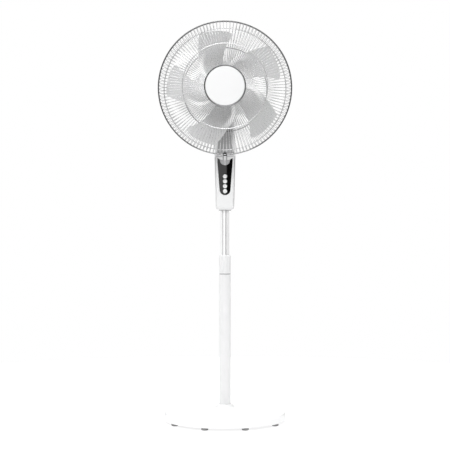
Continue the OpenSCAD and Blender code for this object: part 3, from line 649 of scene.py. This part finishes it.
SHOULDER_H = 16
FOOT_HALF, FOOT_CORNER = 21.5, 21
WIDE_HALF, WIDE_REAR, WIDE_CORNER = 31.5, 28, 20
TOP_HALF, TOP_CORNER = FRONT_HIGH.x, 22
NOSE_R = 5
BOX_WALL = 2.1
BUTTONS = ["button_1", "button_2", "button_3", "button_4"]


def box_width(z):
    """Half width and corner radius of the box above its shoulder."""
    t = (z - BOX_LOW_Z - SHOULDER_H) / (BOX_TOP_Z - BOX_LOW_Z - SHOULDER_H)
    return WIDE_HALF + (TOP_HALF - WIDE_HALF) * t, WIDE_CORNER + (TOP_CORNER - WIDE_CORNER) * t


def box_outline(z, inset=0.0):
    """Level outline of the control box."""
    t = (z - BOX_LOW_Z - SHOULDER_H) / (BOX_TOP_Z - BOX_LOW_Z - SHOULDER_H)
    front = FRONT_LOW.y
    if t >= 0:
        half, corner = box_width(z)
        rear = WIDE_REAR + (REAR_HIGH.y - WIDE_REAR) * t
        return ring_points(half - inset, front + inset, rear - inset, corner, z, NOSE_R)
    swell = math.sin(math.acos(min(1.0, (BOX_LOW_Z + SHOULDER_H - z) / SHOULDER_H))) ** 0.9
    half = FOOT_HALF + (WIDE_HALF - FOOT_HALF) * swell
    front = -FOOT_HALF + (front + FOOT_HALF) * swell
    rear = FOOT_HALF + (WIDE_REAR - FOOT_HALF) * swell
    corner = FOOT_CORNER - (FOOT_CORNER - WIDE_CORNER) * swell
    return ring_points(half, front, rear, corner, z, FOOT_CORNER - (FOOT_CORNER - NOSE_R) * swell)


def box_rows():
    """Level outlines of the box, from the hole round the tube to the hole round the spindle."""
    low = box_outline(BOX_LOW_Z)
    rows = [hole_points(low, TUBE_R + 1, BOX_LOW_Z), low]
    rows += [box_outline(BOX_LOW_Z + SHOULDER_H * (k / 12) ** 1.6) for k in range(1, 13)]
    wide_z = BOX_LOW_Z + SHOULDER_H
    edge_r = 2.2
    edge_z = BOX_TOP_Z - edge_r
    rows += [box_outline(wide_z + (edge_z - wide_z) * k / 16) for k in range(1, 17)]
    for k in range(1, 5):
        a = math.radians(22.5 * k)
        rows.append(box_outline(edge_z + edge_r * math.sin(a), edge_r * (1 - math.cos(a))))
    return rows + [hole_points(rows[-1], 19.3, BOX_TOP_Z)]


def seam_step(z):
    """How far the front shell's side stands in from the rear shell's."""
    t = (z - BOX_LOW_Z) / (BOX_TOP_Z - BOX_LOW_Z)
    return 0.4 + (2.1 + 0.8 * t) * smooth((z - BOX_LOW_Z) / SHOULDER_H)


def front_surface(x, z):
    """Y of the front shell's face."""
    half = box_width(z)[0]
    x = abs(x) * half / (half - seam_step(z))
    past = min(NOSE_R, max(0.0, x - half + NOSE_R))
    return FRONT_LOW.y + NOSE_R - math.sqrt(NOSE_R ** 2 - past ** 2)


def face_sheet(half, low, high, front, back):
    """A closed sheet over the front shell's face; front and back are functions of X."""
    steps = 56
    across = [half * (2 * k / steps - 1) for k in range(steps + 1)]
    rows = []
    for k in range(9):
        z = low + (high - low) * k / 8
        rows.append([(x, front_surface(x, z) + front(x), z) for x in across]
                    + [(x, front_surface(x, z) + back(x), z) for x in reversed(across)])
    return capped(grid(rows, wrap=True), len(rows[0]))


def cut_button_holes(piece):
    """Cuts the four round holes that the buttons move in."""
    clearance = 0.5
    for name in BUTTONS:
        radius = box(name)[1].x + clearance
        hole = lathe([(0, -20), (radius, -20), (radius, 6), (0, 6)], 48)
        cut(piece, facing_front(hole, y=FRONT_LOW.y, z=middle(name).z))


# Wells in the rear shell, as (x, z, radius): four box screws, the socket screw and the gland
REAR_WELLS = [(24.5, 740, 3), (-24.5, 740, 3), (27, 855, 3), (-27, 855, 3), (0, BOX_LOW_Z + 20, 5),
              (0, GLAND_Z, 7)]


def control_box():
    """The front and rear shells; the front one stands in from the rear one's sides."""
    front = make("box_front_skin", grid(box_rows(), wrap=True), "white_plastic")
    thicken(front, BOX_WALL)
    rear = copy_of(front, "box_rear_skin", "white_plastic")
    side, far = 60, 90
    below, above = 600, 1000
    cut(front, block((-side, BOX_SEAM_Y - SEAM_GAP / 2, below), (side, far, above)), crossing=True)
    cut(rear, block((-side, -far, below), (side, BOX_SEAM_Y + SEAM_GAP / 2, above)), crossing=True)
    for vertex in front.data.vertices:
        z = vertex.co.z / MM
        half = box_width(z)[0]
        vertex.co.x *= 1 - seam_step(z) / half
    cut_button_holes(front)
    for x, z, radius in REAR_WELLS:
        well = lathe([(0, -60), (radius, -60), (radius, -14), (0, -14)], 40)
        cut(rear, facing_front(well, x=x, z=z))
    ease(front, 0.3, limit=60)
    ease(rear, 0.3, limit=60)
    place(front, "column", "box_front", sharp=42)
    place(rear, "column", "box_rear", sharp=42)


# Height of the centre and radius of the round notch in the top of the panel
NOTCH_Z = PANEL_HIGH.z - 9
NOTCH_R = 16.2


def control_panel():
    """The glossy mask round the buttons, a little crowned across."""
    low_r = 18.2
    crown_r = 300
    top_half, widest_half = 25.2, 25.6
    top, widest_z = PANEL_HIGH.z, PANEL_HIGH.z - 12
    outline = [(-top_half, top), (-widest_half, widest_z)]
    outline += arc((0, PANEL_LOW.z + low_r), low_r, 176, 364, 32)
    outline += [(widest_half, widest_z), (top_half, top)]
    outline += arc((0, NOTCH_Z), NOTCH_R, 8, -188, 28)
    sheet = face_sheet(27, PANEL_LOW.z - 2, PANEL_HIGH.z + 2,
                       lambda x: x * x / (2 * crown_r) - 1.4, lambda x: 0.4)
    piece = make("panel_face", sheet, "black_gloss")
    cut(piece, prism(outline, -60, -10), "INTERSECT")
    cut_button_holes(piece)
    ease(piece, 0.25, limit=60)
    place(piece, "column", "control_panel", sharp=30)


def receiver_window():
    """The grey half disc in the notch, the round column in the middle of it and a paler rib down the
    column, a painted highlight.
    """
    disc = arc((0, NOTCH_Z), NOTCH_R - 0.3, 172, 368, 32)
    sheet = face_sheet(20, NOTCH_Z - 20, NOTCH_Z + 6, lambda x: -0.4, lambda x: 0.4)
    dish = make("receiver_dish", sheet, "window_grey")
    cut(dish, prism(disc, -60, -10), "INTERSECT")
    ease(dish, 0.15, limit=60)
    place(dish, "column", "receiver_window")
    top = BOX_TOP_Z - 0.6
    back = FRONT_LOW.y + 0.3
    # The rib takes the paler blade grey: a painted highlight down the middle of the round column
    for name, half, proud, slot in (("receiver_column", 7.4, 1.1, "window_grey"),
                                    ("receiver_highlight_rib", 2.4, 1.7, "grey_blade")):
        low = NOTCH_Z - math.sqrt((NOTCH_R - 0.5) ** 2 - half ** 2)
        crown = [math.radians(a) for a in range(0, 181, 12)]
        outline = [(half * math.cos(a), FRONT_LOW.y - 0.3 - proud * math.sin(a)) for a in crown]
        outline += [(-half, back), (half, back)]
        rows = [[(x, y, z) for x, y in outline] for z in (low, top)]
        piece = make(name, capped(grid(rows, wrap=True), len(outline)), slot)
        ease(piece, 0.3, limit=60)
        place(piece, "column")


def buttons():
    """Four caps, each a little dished with a soft rim."""
    for index, name in enumerate(BUTTONS, 1):
        radius = box(name)[1].x - 1
        profile = rounded([(0, 1.9, 0), (4.2, 2.2, 3), (radius - 1.6, 2.6, 0.8), (radius, 1.9, 1.1),
                           (radius, -4, 0), (0, -4, 0)], steps=5)
        part = facing_front(lathe(profile, 64), y=FRONT_LOW.y, z=middle(name).z)
        place(make(f"button_cap_{index}", part, "white_plastic"), name, name)


def cord_gland():
    """A ribbed bush round the blind cable hole at the back."""
    depth = GLAND_HIGH.y - GLAND_LOW.y
    profile = [(3.4, 0, 0), (3.4, depth - 1, 0), (4.2, depth, 0.6), (6.4, depth, 1)]
    for k in range(3):
        z = depth - 2.2 - 1.6 * k
        profile += [(6.9, z + 0.7, 0.3), (5.9, z - 0.1, 0.3)]
    profile += [(9, depth - 6.4, 0.5), (9, depth - 7.4, 0.5), (6.6, depth - 7.8, 0), (6.6, 0, 0)]
    bush = lathe([(r, -z) for r, z in rounded(profile)], 48, ring=True)
    blind_end = lathe([(0, -4), (3.6, -4), (3.6, -3), (0, -3)], 32)
    part = facing_front(together([bush, blind_end]), y=GLAND_LOW.y, z=GLAND_Z)
    place(make("cord_bush", part, "black_plastic"), "column", "cord_gland")


def neck_rows():
    """Level outlines of the neck, from its foot to the slot round the hinge."""
    levels = [(NECK_LOW.z - 0.3, 34.5, 32.5, 21.8), (NECK_LOW.z + 0.2, 34.9, 32.9, 22),
              (NECK_FRONT_LOW.z, 34.95, 32.95, 22)]
    span = NECK_FRONT_HIGH.z - NECK_FRONT_LOW.z
    for k in range(1, 17):
        t = k / 16
        bend = t ** 3
        half = 34.9 - 1.1 * t - 1.9 * bend
        reach = 32.9 - 0.4 * t - 1.1 * bend
        levels.append((NECK_FRONT_LOW.z + span * t, half, reach, 22))
    top = NECK_HIGH.z
    shoulder_r = top - NECK_FRONT_HIGH.z
    for k in range(1, 9):
        a = math.radians(90 * k / 8)
        drop = 4.2 * (1 - math.cos(a))
        z = NECK_FRONT_HIGH.z + shoulder_r * math.sin(a)
        levels.append((z, 31.9 - drop, 31.4 - drop, 22 - drop * 0.5))
    rows = [ring_points(half, -reach, reach, radius, z) for z, half, reach, radius in levels]
    slot = [(x, y + TILT_Y, top - 0.1) for x, y, _ in ring_points(25.4, -15, 15, 3, 0)]
    inside = [(x, y, top - 5) for x, y, _ in slot]
    return rows + [slot, inside]


def neck():
    """The neck's shell and the grey panel let into its front."""
    shell = make("neck_shell_skin", grid(neck_rows(), wrap=True), "white_plastic")
    thicken(shell, 2.2, even=False)
    window = copy_of(shell, "neck_front_skin", "neck_grey")
    half = NECK_FRONT_HIGH.x
    low, high = NECK_FRONT_LOW.z, NECK_FRONT_HIGH.z
    cut(window, block((-half, -60, low), (half, -5, high)), "INTERSECT")
    cut(shell, block((-half - SEAM_GAP, -60, low - SEAM_GAP), (half + SEAM_GAP, -5, high + SEAM_GAP)))
    ease(window, 0.3, limit=60)
    ease(shell, 0.3, limit=60)
    place(window, "neck", "neck_front", sharp=42)
    place(shell, "neck", "neck_shell", sharp=42)


# ---- Motor housing ----

def motor_front():
    """The flat front shell of the motor housing, with the collar that the rear guard sits on."""
    front, back = FACE_LOW.y, FACE_HIGH.y
    radius = FACE_HIGH.x
    profile = rounded([(20, back, 0), (radius - 0.6, back, 0), (radius, back - 0.6, 0.4),
                       (radius, back - 2, 1), (radius - 1.5, back - 3, 1), (61, back - 3, 0.6),
                       (60, back - 6, 0.8), (28.5, back - 6, 0.3), (28, front, 0.8), (20, front, 0.4)],
                      closed=True)
    part = on_fan_axis(lathe(profile, 128, ring=True))
    place(make("motor_face", part, "white_plastic"), "head", "motor_front_shell")


TONGUE_HALF_ANGLE = 11


def motor_rear():
    """The bullet-shaped rear shell, open in radial vents and where the hinge's tongue comes out."""
    turns = 144
    split, rear = SHELL_LOW.y, SHELL_HIGH.y
    radius = SHELL_HIGH.x
    straight = 18
    slot_low, slot_high = split + 30.5, 28
    profile = [(radius - 0.6, split), (radius, split + 0.6)]
    profile += [(radius, v) for v in (split + 8, split + 16, split + 24, slot_low, -6, 4, 12)]
    flat = 0.45 * radius
    for degrees in range(0, 90, 3):
        a = math.radians(degrees)
        profile.append((flat + (radius - flat) * math.cos(a), straight + (rear - straight) * math.sin(a)))
    profile.append((flat - 1.2, rear - 0.35))
    profile += [(r, rear - 0.1) for r in (flat - 4, 24, 20, 16, 12, 8, 4)] + [(0, rear)]
    turn = [2 * math.pi * k / turns for k in range(turns)]
    rows = [[(r * math.sin(a), r * math.cos(a), v) for a in turn] for r, v in profile]
    points, faces = grid(rows, wrap=True)

    def open_here(face):
        """Whether a face lies in a vent or where the tongue comes out."""
        middle = sum((Vector(points[i]) for i in face), Vector()) / 4
        r = math.hypot(middle.x, middle.y)
        from_bottom = math.degrees(math.atan2(middle.x, middle.y))
        if abs(from_bottom) < TONGUE_HALF_ANGLE and slot_low <= middle.z <= slot_high:
            return True
        in_slot = 5 <= from_bottom % 15 <= 10
        return in_slot and (9 < r < 27.5 and middle.z > rear - 2 or 37 < r < 57 and middle.z > 60)

    # The rows run clockwise, so each face is turned over to look outwards
    kept = [face[::-1] for face in faces if not open_here(face)]
    piece = make("motor_housing", on_fan_axis((points, kept)), "white_plastic")
    thicken(piece, 2.4)
    ease(piece, 0.5, limit=50)
    place(piece, "head", "motor_rear_shell", sharp=42)


# ---- Guards ----

WIRES = 120
WIRE_R = 1.0
RIM_WIRE_R = 2.2
RING_WIRE_R = 1.6
RIM_V = RIM_HIGH.y
WIRE_RIM_R = GUARD_R - 2 * RIM_WIRE_R - WIRE_R - 0.15
CENTRE_V = FAN_LOW.y - 36.5
REAR_PLATE_V = NUT_HIGH.y


def wires(path):
    """All the wires of one guard, each a copy of the path of (radius, v) turned round the fan's axis."""
    parts = []
    for k in range(WIRES):
        angle = (k + 0.5) * 360 / WIRES
        a = math.radians(angle)
        side_way = Vector((math.cos(a), 0, -math.sin(a)))
        parts.append(sweep([at_clock(angle, r, v) for r, v in path], WIRE_R, 8, side_way))
    return together(parts)


def guard_ring(radius, v, wire_r):
    """A round wire bent to a full circle round the fan's axis."""
    section = arc((radius, v), wire_r, 0, 330, 11)
    return on_fan_axis(lathe(section, 240, ring=True))


def guard_rim(name, v):
    """The heavy wire round the edge of one guard."""
    rim = make(name, guard_ring(GUARD_R - RIM_WIRE_R, v, RIM_WIRE_R), "trim_dark", "rim")
    place(rim, "head", sharp=60)


def front_guard():
    """Wires from the rim over a rounded edge to the centre, with the rim and two rings."""
    bend_r = 42
    ring_r = 138
    ring_v = CENTRE_V + 1.6
    path = [(WIRE_RIM_R, RIM_V + 1.5), (WIRE_RIM_R, RIM_V - 4)]
    path += arc((WIRE_RIM_R - bend_r, RIM_V - 8), bend_r, -4, -84, 12)
    path += [(ring_r, ring_v), (100, CENTRE_V + 0.4), (56, CENTRE_V)]
    place(make("front_wires", wires(path), "guard_wire"), "head", "front_guard_wires", sharp=60)
    guard_rim("front_rim", RIM_V - RIM_WIRE_R)
    plate = rounded([(54, CENTRE_V + 1.2, 0), (59, CENTRE_V + 1.2, 0.3), (59, CENTRE_V - 1, 0.3),
                     (54, CENTRE_V - 1, 0)])
    rings = together([
        guard_ring(ring_r, ring_v - WIRE_R - RING_WIRE_R + 0.3, RING_WIRE_R),
        on_fan_axis(lathe(plate, 128, ring=True)),
    ])
    place(make("front_rings", rings, "guard_wire"), "head", "front_guard_rings", sharp=60)


def rear_guard():
    """Wires from the rim to the pressed plate at the motor, with the rim and two rings."""
    bend_r = 30
    bend = (WIRE_RIM_R - bend_r, RIM_V + 9)
    ring_r = 139
    v = REAR_PLATE_V
    ring_v = v - 2.4
    path = [(WIRE_RIM_R, RIM_V - 1.5), (WIRE_RIM_R, RIM_V + 5)]
    path += arc(bend, bend_r, 4, 75, 10) + [(ring_r, ring_v), (94, v + 0.8)]
    place(make("rear_wires", wires(path), "guard_wire"), "head", "rear_guard_wires", sharp=60)
    guard_rim("rear_rim", RIM_V + RIM_WIRE_R)
    plate = rounded([(28.3, v, 0.2), (40, v, 0.5), (46, v + 0.3, 1), (52, v + 0.3, 1), (58, v - 1.2, 2),
                     (74, v - 1.2, 2), (80, v, 2), (93, v, 1), (94.5, v + 1, 0.4), (94, v + 2, 0.4),
                     (80, v + 1.6, 2), (74, v + 0.4, 2), (58, v + 0.4, 2), (52, v + 1.9, 1),
                     (28.3, v + 1.9, 0.2)], closed=True)
    part = on_fan_axis(lathe(plate, 160, ring=True))
    # The plate's paint glows a little, painted light where the blades shade it
    place(make("rear_plate", part, "white_paint", "plate_white_glow"), "head", sharp=50)
    inner = guard_ring(ring_r, ring_v + WIRE_R + RING_WIRE_R - 0.2, RING_WIRE_R)
    # The inner ring takes the dark trim metal, not the wires' own: painted shade on a ring that lies behind
    # the blades
    place(make("rear_inner_ring", inner, "trim_dark"), "head", sharp=60)
    reach = bend_r + WIRE_R + RING_WIRE_R - 0.2
    a = math.radians(59)
    outer = guard_ring(bend[0] + reach * math.cos(a), bend[1] + reach * math.sin(a), RING_WIRE_R)
    place(make("rear_rings", outer, "guard_wire"), "head", "rear_guard_rings", sharp=50)


def guard_nut():
    """A lobed ring nut that clamps the rear guard to the motor's collar."""
    low, high = NUT_LOW.y, NUT_HIGH.y
    profile = rounded([(28.6, low, 0.4), (42, low, 1.5), (46, low + 2.5, 1.5), (46, high - 0.8, 0.5),
                       (44, high, 0), (28.6, high, 0.3)], closed=True)

    def lobed(p):
        """Pushes the outside of the nut out to six lobes."""
        outer = math.hypot(p.x, p.y)
        if outer < 35:
            return p
        lobe = 0.5 + 0.5 * math.cos(6 * math.atan2(p.y, p.x))
        return scaled(p, 1 + (4.6 * lobe ** 2 - 1.5) * smooth((outer - 35) / 11) / outer)

    part = on_fan_axis(moved(lathe(profile, 144, ring=True), lobed))
    place(make("guard_ring_nut", part, "black_plastic"), "head", "guard_nut")


def centre_badge():
    """The white disc over the middle of the guard and the dark ring round it."""
    front, back = DISC_LOW.y, DISC_HIGH.y
    radius = DISC_HIGH.x
    crown = 0.6
    edge_r = 2.2
    steps = 14
    face = [(radius * 0.92 * k / steps, front + crown * (k / steps) ** 2) for k in range(steps + 1)]
    edge = arc((radius - 2.4, front + crown + edge_r), edge_r, -80, 0, 8)
    disc = face + edge + [(radius, back), (0, back)]
    place(make("badge_disc", on_fan_axis(lathe(disc, 160)), "white_plastic"), "head", "centre_disc")
    outer, low, high = TRIM_HIGH.x, TRIM_LOW.y, TRIM_HIGH.y
    ring = rounded([(radius - 6, low + 0.4, 0), (radius + 0.3, low + 0.4, 0.2),
                    (outer - 1.6, low - 0.6, 0.8), (outer, low + 1.2, 1.2), (outer, high, 0.6),
                    (outer - 2, high, 0), (outer - 2, high - 1.4, 0), (radius - 6, high - 1.4, 0)],
                   closed=True)
    place(make("badge_ring", on_fan_axis(lathe(ring, 160, ring=True)), "trim_dark"), "head", "trim_ring")


def guard_clip():
    """The U-shaped clip that holds the two rims together, with its latch below."""
    low_z = AXIS_Z - GUARD_R
    half = CLIP_HIGH.x - 0.8
    front, rear = CLIP_LOW.y, CLIP_HIGH.y
    clip = together([
        block((-4.3, front, low_z - 0.5), (4.3, front + 1.4, low_z + 5.9)),
        block((-half, front, low_z - 3.6), (half, rear, low_z - 0.3)),
        block((-half, rear - 2.8, low_z - 3.6), (half, rear, CLIP_HIGH.z)),
    ])
    body = make("rim_clip", clip, "black_plastic")
    ease(body, 0.4)
    place(body, "head", "guard_clip")
    latch = make("rim_latch", together([
        block((-3.6, front - 0.4, low_z), (3.6, front + 0.3, low_z + 2.6)),
        block((-4.4, front + 1, low_z - 7.2), (4.4, front + 6, low_z - 3.4)),
        block((-2.4, front + 2, CLIP_LOW.z), (2.4, front + 5, low_z - 7)),
    ]), "grey_blade")
    ease(latch, 0.4, 3)
    place(latch, "head")


# ---- Fan ----

BLADES = 5
HUB_R = 32
TIP_R = 193
ROOT_R = HUB_R - 2
LIP_COLUMNS = 6
BODY_COLUMNS = 20
BLADE_ROWS = 30


def lip_share(r):
    """How much of the full lip a blade has: it fades away from the root."""
    return 0.12 + 0.88 * max(0.0, 1 - (max(r - 70, 0) / 66) ** 2)


def blade_tip(s):
    """Radius of the tip at a share of the way from the front edge to the rear edge."""
    corner = 9 if s > 0.5 else 3
    return TIP_R - 5 * s - corner * abs(2 * s - 1) ** 6


def blade_point(t, lip, body):
    """t runs from root to tip, lip across the steep front lip, then body on to the rear edge."""
    s = 0.25 * lip + 0.75 * body
    r = ROOT_R + (blade_tip(s) - ROOT_R) * t
    share = lip_share(r)
    front_angle = 20.4 + 0.236 * (r - 77)
    rear_angle = 66 + 0.0125 * max(r - 69, 0) ** 1.5
    angle = front_angle - 9.5 * share * (1 - lip) + (rear_angle - front_angle) * body
    front, rear = FAN_LOW.y + 1.1, FAN_HIGH.y - 3
    lift = 22 * share
    along = body + 0.1 * math.sin(math.pi * body)
    v = front + lift * lip + (rear - front - lift) * along + (1 - t) * (3 - 4 * s)
    return at_clock(angle, r, v)


def blade(turn):
    """The skin of one blade, turned round the fan's axis."""
    across = [(k / LIP_COLUMNS, 0) for k in range(LIP_COLUMNS)]
    across += [(1, k / BODY_COLUMNS) for k in range(BODY_COLUMNS + 1)]
    rows = [[blade_point(i / BLADE_ROWS, lip, body) for lip, body in across]
            for i in range(BLADE_ROWS + 1)]
    a = math.radians(turn)

    def turned(p):
        x, z = p.x, p.z - AXIS_Z
        return Vector((x * math.cos(a) + z * math.sin(a), p.y, AXIS_Z + z * math.cos(a) - x * math.sin(a)))

    return moved(grid(rows), turned)


def fan():
    """The blades, their hub and the knob that holds them on the shaft."""
    part = together([blade(360 * k / BLADES) for k in range(BLADES)])
    blades = make("fan_blades", part, "grey_blade", "fan_blades")
    thicken(blades, 2.0, 0)
    ease(blades, 0.6, 3, 60)
    place(blades, "rotor", "fan_blade", sharp=60)
    front, back = KNOB_HIGH.y, FAN_HIGH.y
    bore_r, boss_r, cup_r = 4.3, 9, HUB_R - 3
    hub = rounded([(bore_r, front, 0), (HUB_R - 5, front, 1), (HUB_R, front + 5, 4), (HUB_R, back, 0.8),
                   (cup_r, back, 0.5), (cup_r, front + 7, 3), (boss_r, front + 7, 2),
                   (boss_r, back - 2, 0.6), (bore_r, back - 2, 0)], closed=True)
    place(make("fan_hub", on_fan_axis(lathe(hub, 96, ring=True)), "grey_blade"), "rotor")
    low, high = KNOB_LOW.y, KNOB_HIGH.y
    knob = rounded([(0, low, 0), (11, low, 5), (16, low + 8, 5), (16, high, 0.5), (0, high, 0)])

    def gripped(p):
        """Draws a point in where it lies in one of eight grooves."""
        outer = math.hypot(p.x, p.y)
        groove = max(0.0, math.cos(8 * math.atan2(p.y, p.x))) ** 2
        return scaled(p, 1 - 1.6 * groove * smooth((outer - 9) / 6) / max(outer, 1))

    part = on_fan_axis(moved(lathe(knob, 96), gripped))
    place(make("spinner_knob", part, "grey_blade"), "rotor", "blade_nut")


# ---- Carried-over CAD nodes ----

def finish_cad_nodes():
    """Gives every CAD node the material of its slot."""
    slots = {entry["node"]: entry["material_slot"] for entry in frame["record"]["subparts"]}
    for name, node in frame["nodes"].items():
        node.data.materials.clear()
        node.data.materials.append(FINISH[slots[name]])
        for face in node.data.polygons:
            face.material_index = 0


# ---- Studio ----

# Brightness of the room by degrees to the right of the camera's place, seen from the fan
ROOM = [(-180, 1.0), (-172, 1.0), (-170, 0.1), (-150, 0.1), (-148, 1.0), (-81, 1.0), (-80, 0.0),
        (-53, 0.0), (-52, 1.0), (-14, 1.0), (-12, 1.5), (2.2, 1.5), (2.6, 0.0), (41, 0.0), (45, 0.8),
        (84, 0.75), (87, 0.15), (98, 0.15), (102, 0.9), (146, 1.0), (148, 0.1), (168, 0.1), (170, 1.0),
        (180, 1.0)]
# Strength of the light from overhead, against 1 from the sides
SKY = 1.9
FLOOR_R = 2.0
FLOOR_SIDES = 64
EYE_DISTANCE, EYE_HEIGHT = 4.11, 0.66
LENS = 97.8


def room():
    """A world that lights the fan by heading and height, and looks white to the camera."""
    world = bpy.data.worlds.new("studio")
    world.use_nodes = True
    bpy.context.scene.world = world
    tree = world.node_tree
    nodes, links = tree.nodes, tree.links
    nodes.clear()
    axes = axes_of(tree, nodes.new("ShaderNodeTexCoord").outputs["Generated"])
    ahead = worked_out(tree, "MULTIPLY", axes["Y"], -1)
    heading = worked_out(tree, "ARCTAN2", axes["X"], ahead)
    ramp = nodes.new("ShaderNodeValToRGB")
    elements = ramp.color_ramp.elements
    while len(elements) < len(ROOM):
        elements.new(0.5)
    for element, (degrees, level) in zip(elements, ROOM):
        element.position = degrees / 360 + 0.5
        element.color = (level, level, level, 1)
    links.new(mapped(tree, heading, -math.pi, math.pi), ramp.inputs["Fac"])
    lit = nodes.new("ShaderNodeBackground")
    links.new(ramp.outputs["Color"], lit.inputs["Color"])
    links.new(mapped(tree, axes["Z"], 0.25, 0.85, 1.0, SKY, "SMOOTHSTEP"), lit.inputs["Strength"])
    plain = nodes.new("ShaderNodeBackground")
    plain.inputs["Color"].default_value = (1, 1, 1, 1)
    rays = nodes.new("ShaderNodeLightPath")
    mix = nodes.new("ShaderNodeMixShader")
    links.new(rays.outputs["Is Camera Ray"], mix.inputs["Fac"])
    links.new(lit.outputs["Background"], mix.inputs[1])
    links.new(plain.outputs["Background"], mix.inputs[2])
    out = nodes.new("ShaderNodeOutputWorld")
    links.new(mix.outputs["Shader"], out.inputs["Surface"])


def key_light():
    """A soft light above and in front of the fan, aimed between the control box and the head."""
    key = bpy.data.lights.new("key", "AREA")
    key.shape = "RECTANGLE"
    key.size, key.size_y = 1.6, 1.2
    key.energy = 34
    lamp = bpy.data.objects.new("key", key)
    lamp.location = (0.0, -2.4, 2.6)
    aim = Vector((0, 0, 0.9)) - lamp.location
    lamp.rotation_euler = aim.to_track_quat("-Z", "Y").to_euler()
    bpy.context.collection.objects.link(lamp)


def floor():
    """A round floor with a glow of its own, so that it meets the white of the room."""
    _, shader, _ = new_material("floor", roughness=0.9, emission_strength=0.85)
    shader.inputs["Base Color"].default_value = (0.25, 0.25, 0.25, 1)
    shader.inputs["Emission Color"].default_value = (1, 1, 1, 1)
    turn = [2 * math.pi * k / FLOOR_SIDES for k in range(FLOOR_SIDES)]
    corners = [(FLOOR_R * math.cos(a), FLOOR_R * math.sin(a), 0) for a in turn]
    mesh = bpy.data.meshes.new("floor")
    mesh.from_pydata(corners, [], [tuple(range(FLOOR_SIDES))])
    mesh.materials.append(FINISH["floor"])
    disc = bpy.data.objects.new("floor", mesh)
    bpy.context.collection.objects.link(disc)


def camera():
    """Level view along +Y from the height of the object's middle."""
    lens = bpy.data.cameras.new("camera")
    lens.sensor_width = 36
    lens.lens = LENS
    lens.clip_end = 60
    eye = bpy.data.objects.new("camera", lens)
    eye.location = (0, -EYE_DISTANCE, EYE_HEIGHT)
    eye.rotation_euler = (math.radians(90), 0, 0)
    bpy.context.collection.objects.link(eye)
    bpy.context.scene.camera = eye


camera()
room()
key_light()
floor()
bpy.context.scene.view_settings.view_transform = "Standard"
finish_cad_nodes()
base_cover()
base_feet()
pole_tube()
collar_seam()
height_collar()
inner_tube()
tube_ring()
control_box()
control_panel()
receiver_window()
buttons()
cord_gland()
neck()
motor_front()
motor_rear()
front_guard()
rear_guard()
guard_nut()
centre_badge()
guard_clip()
fan()
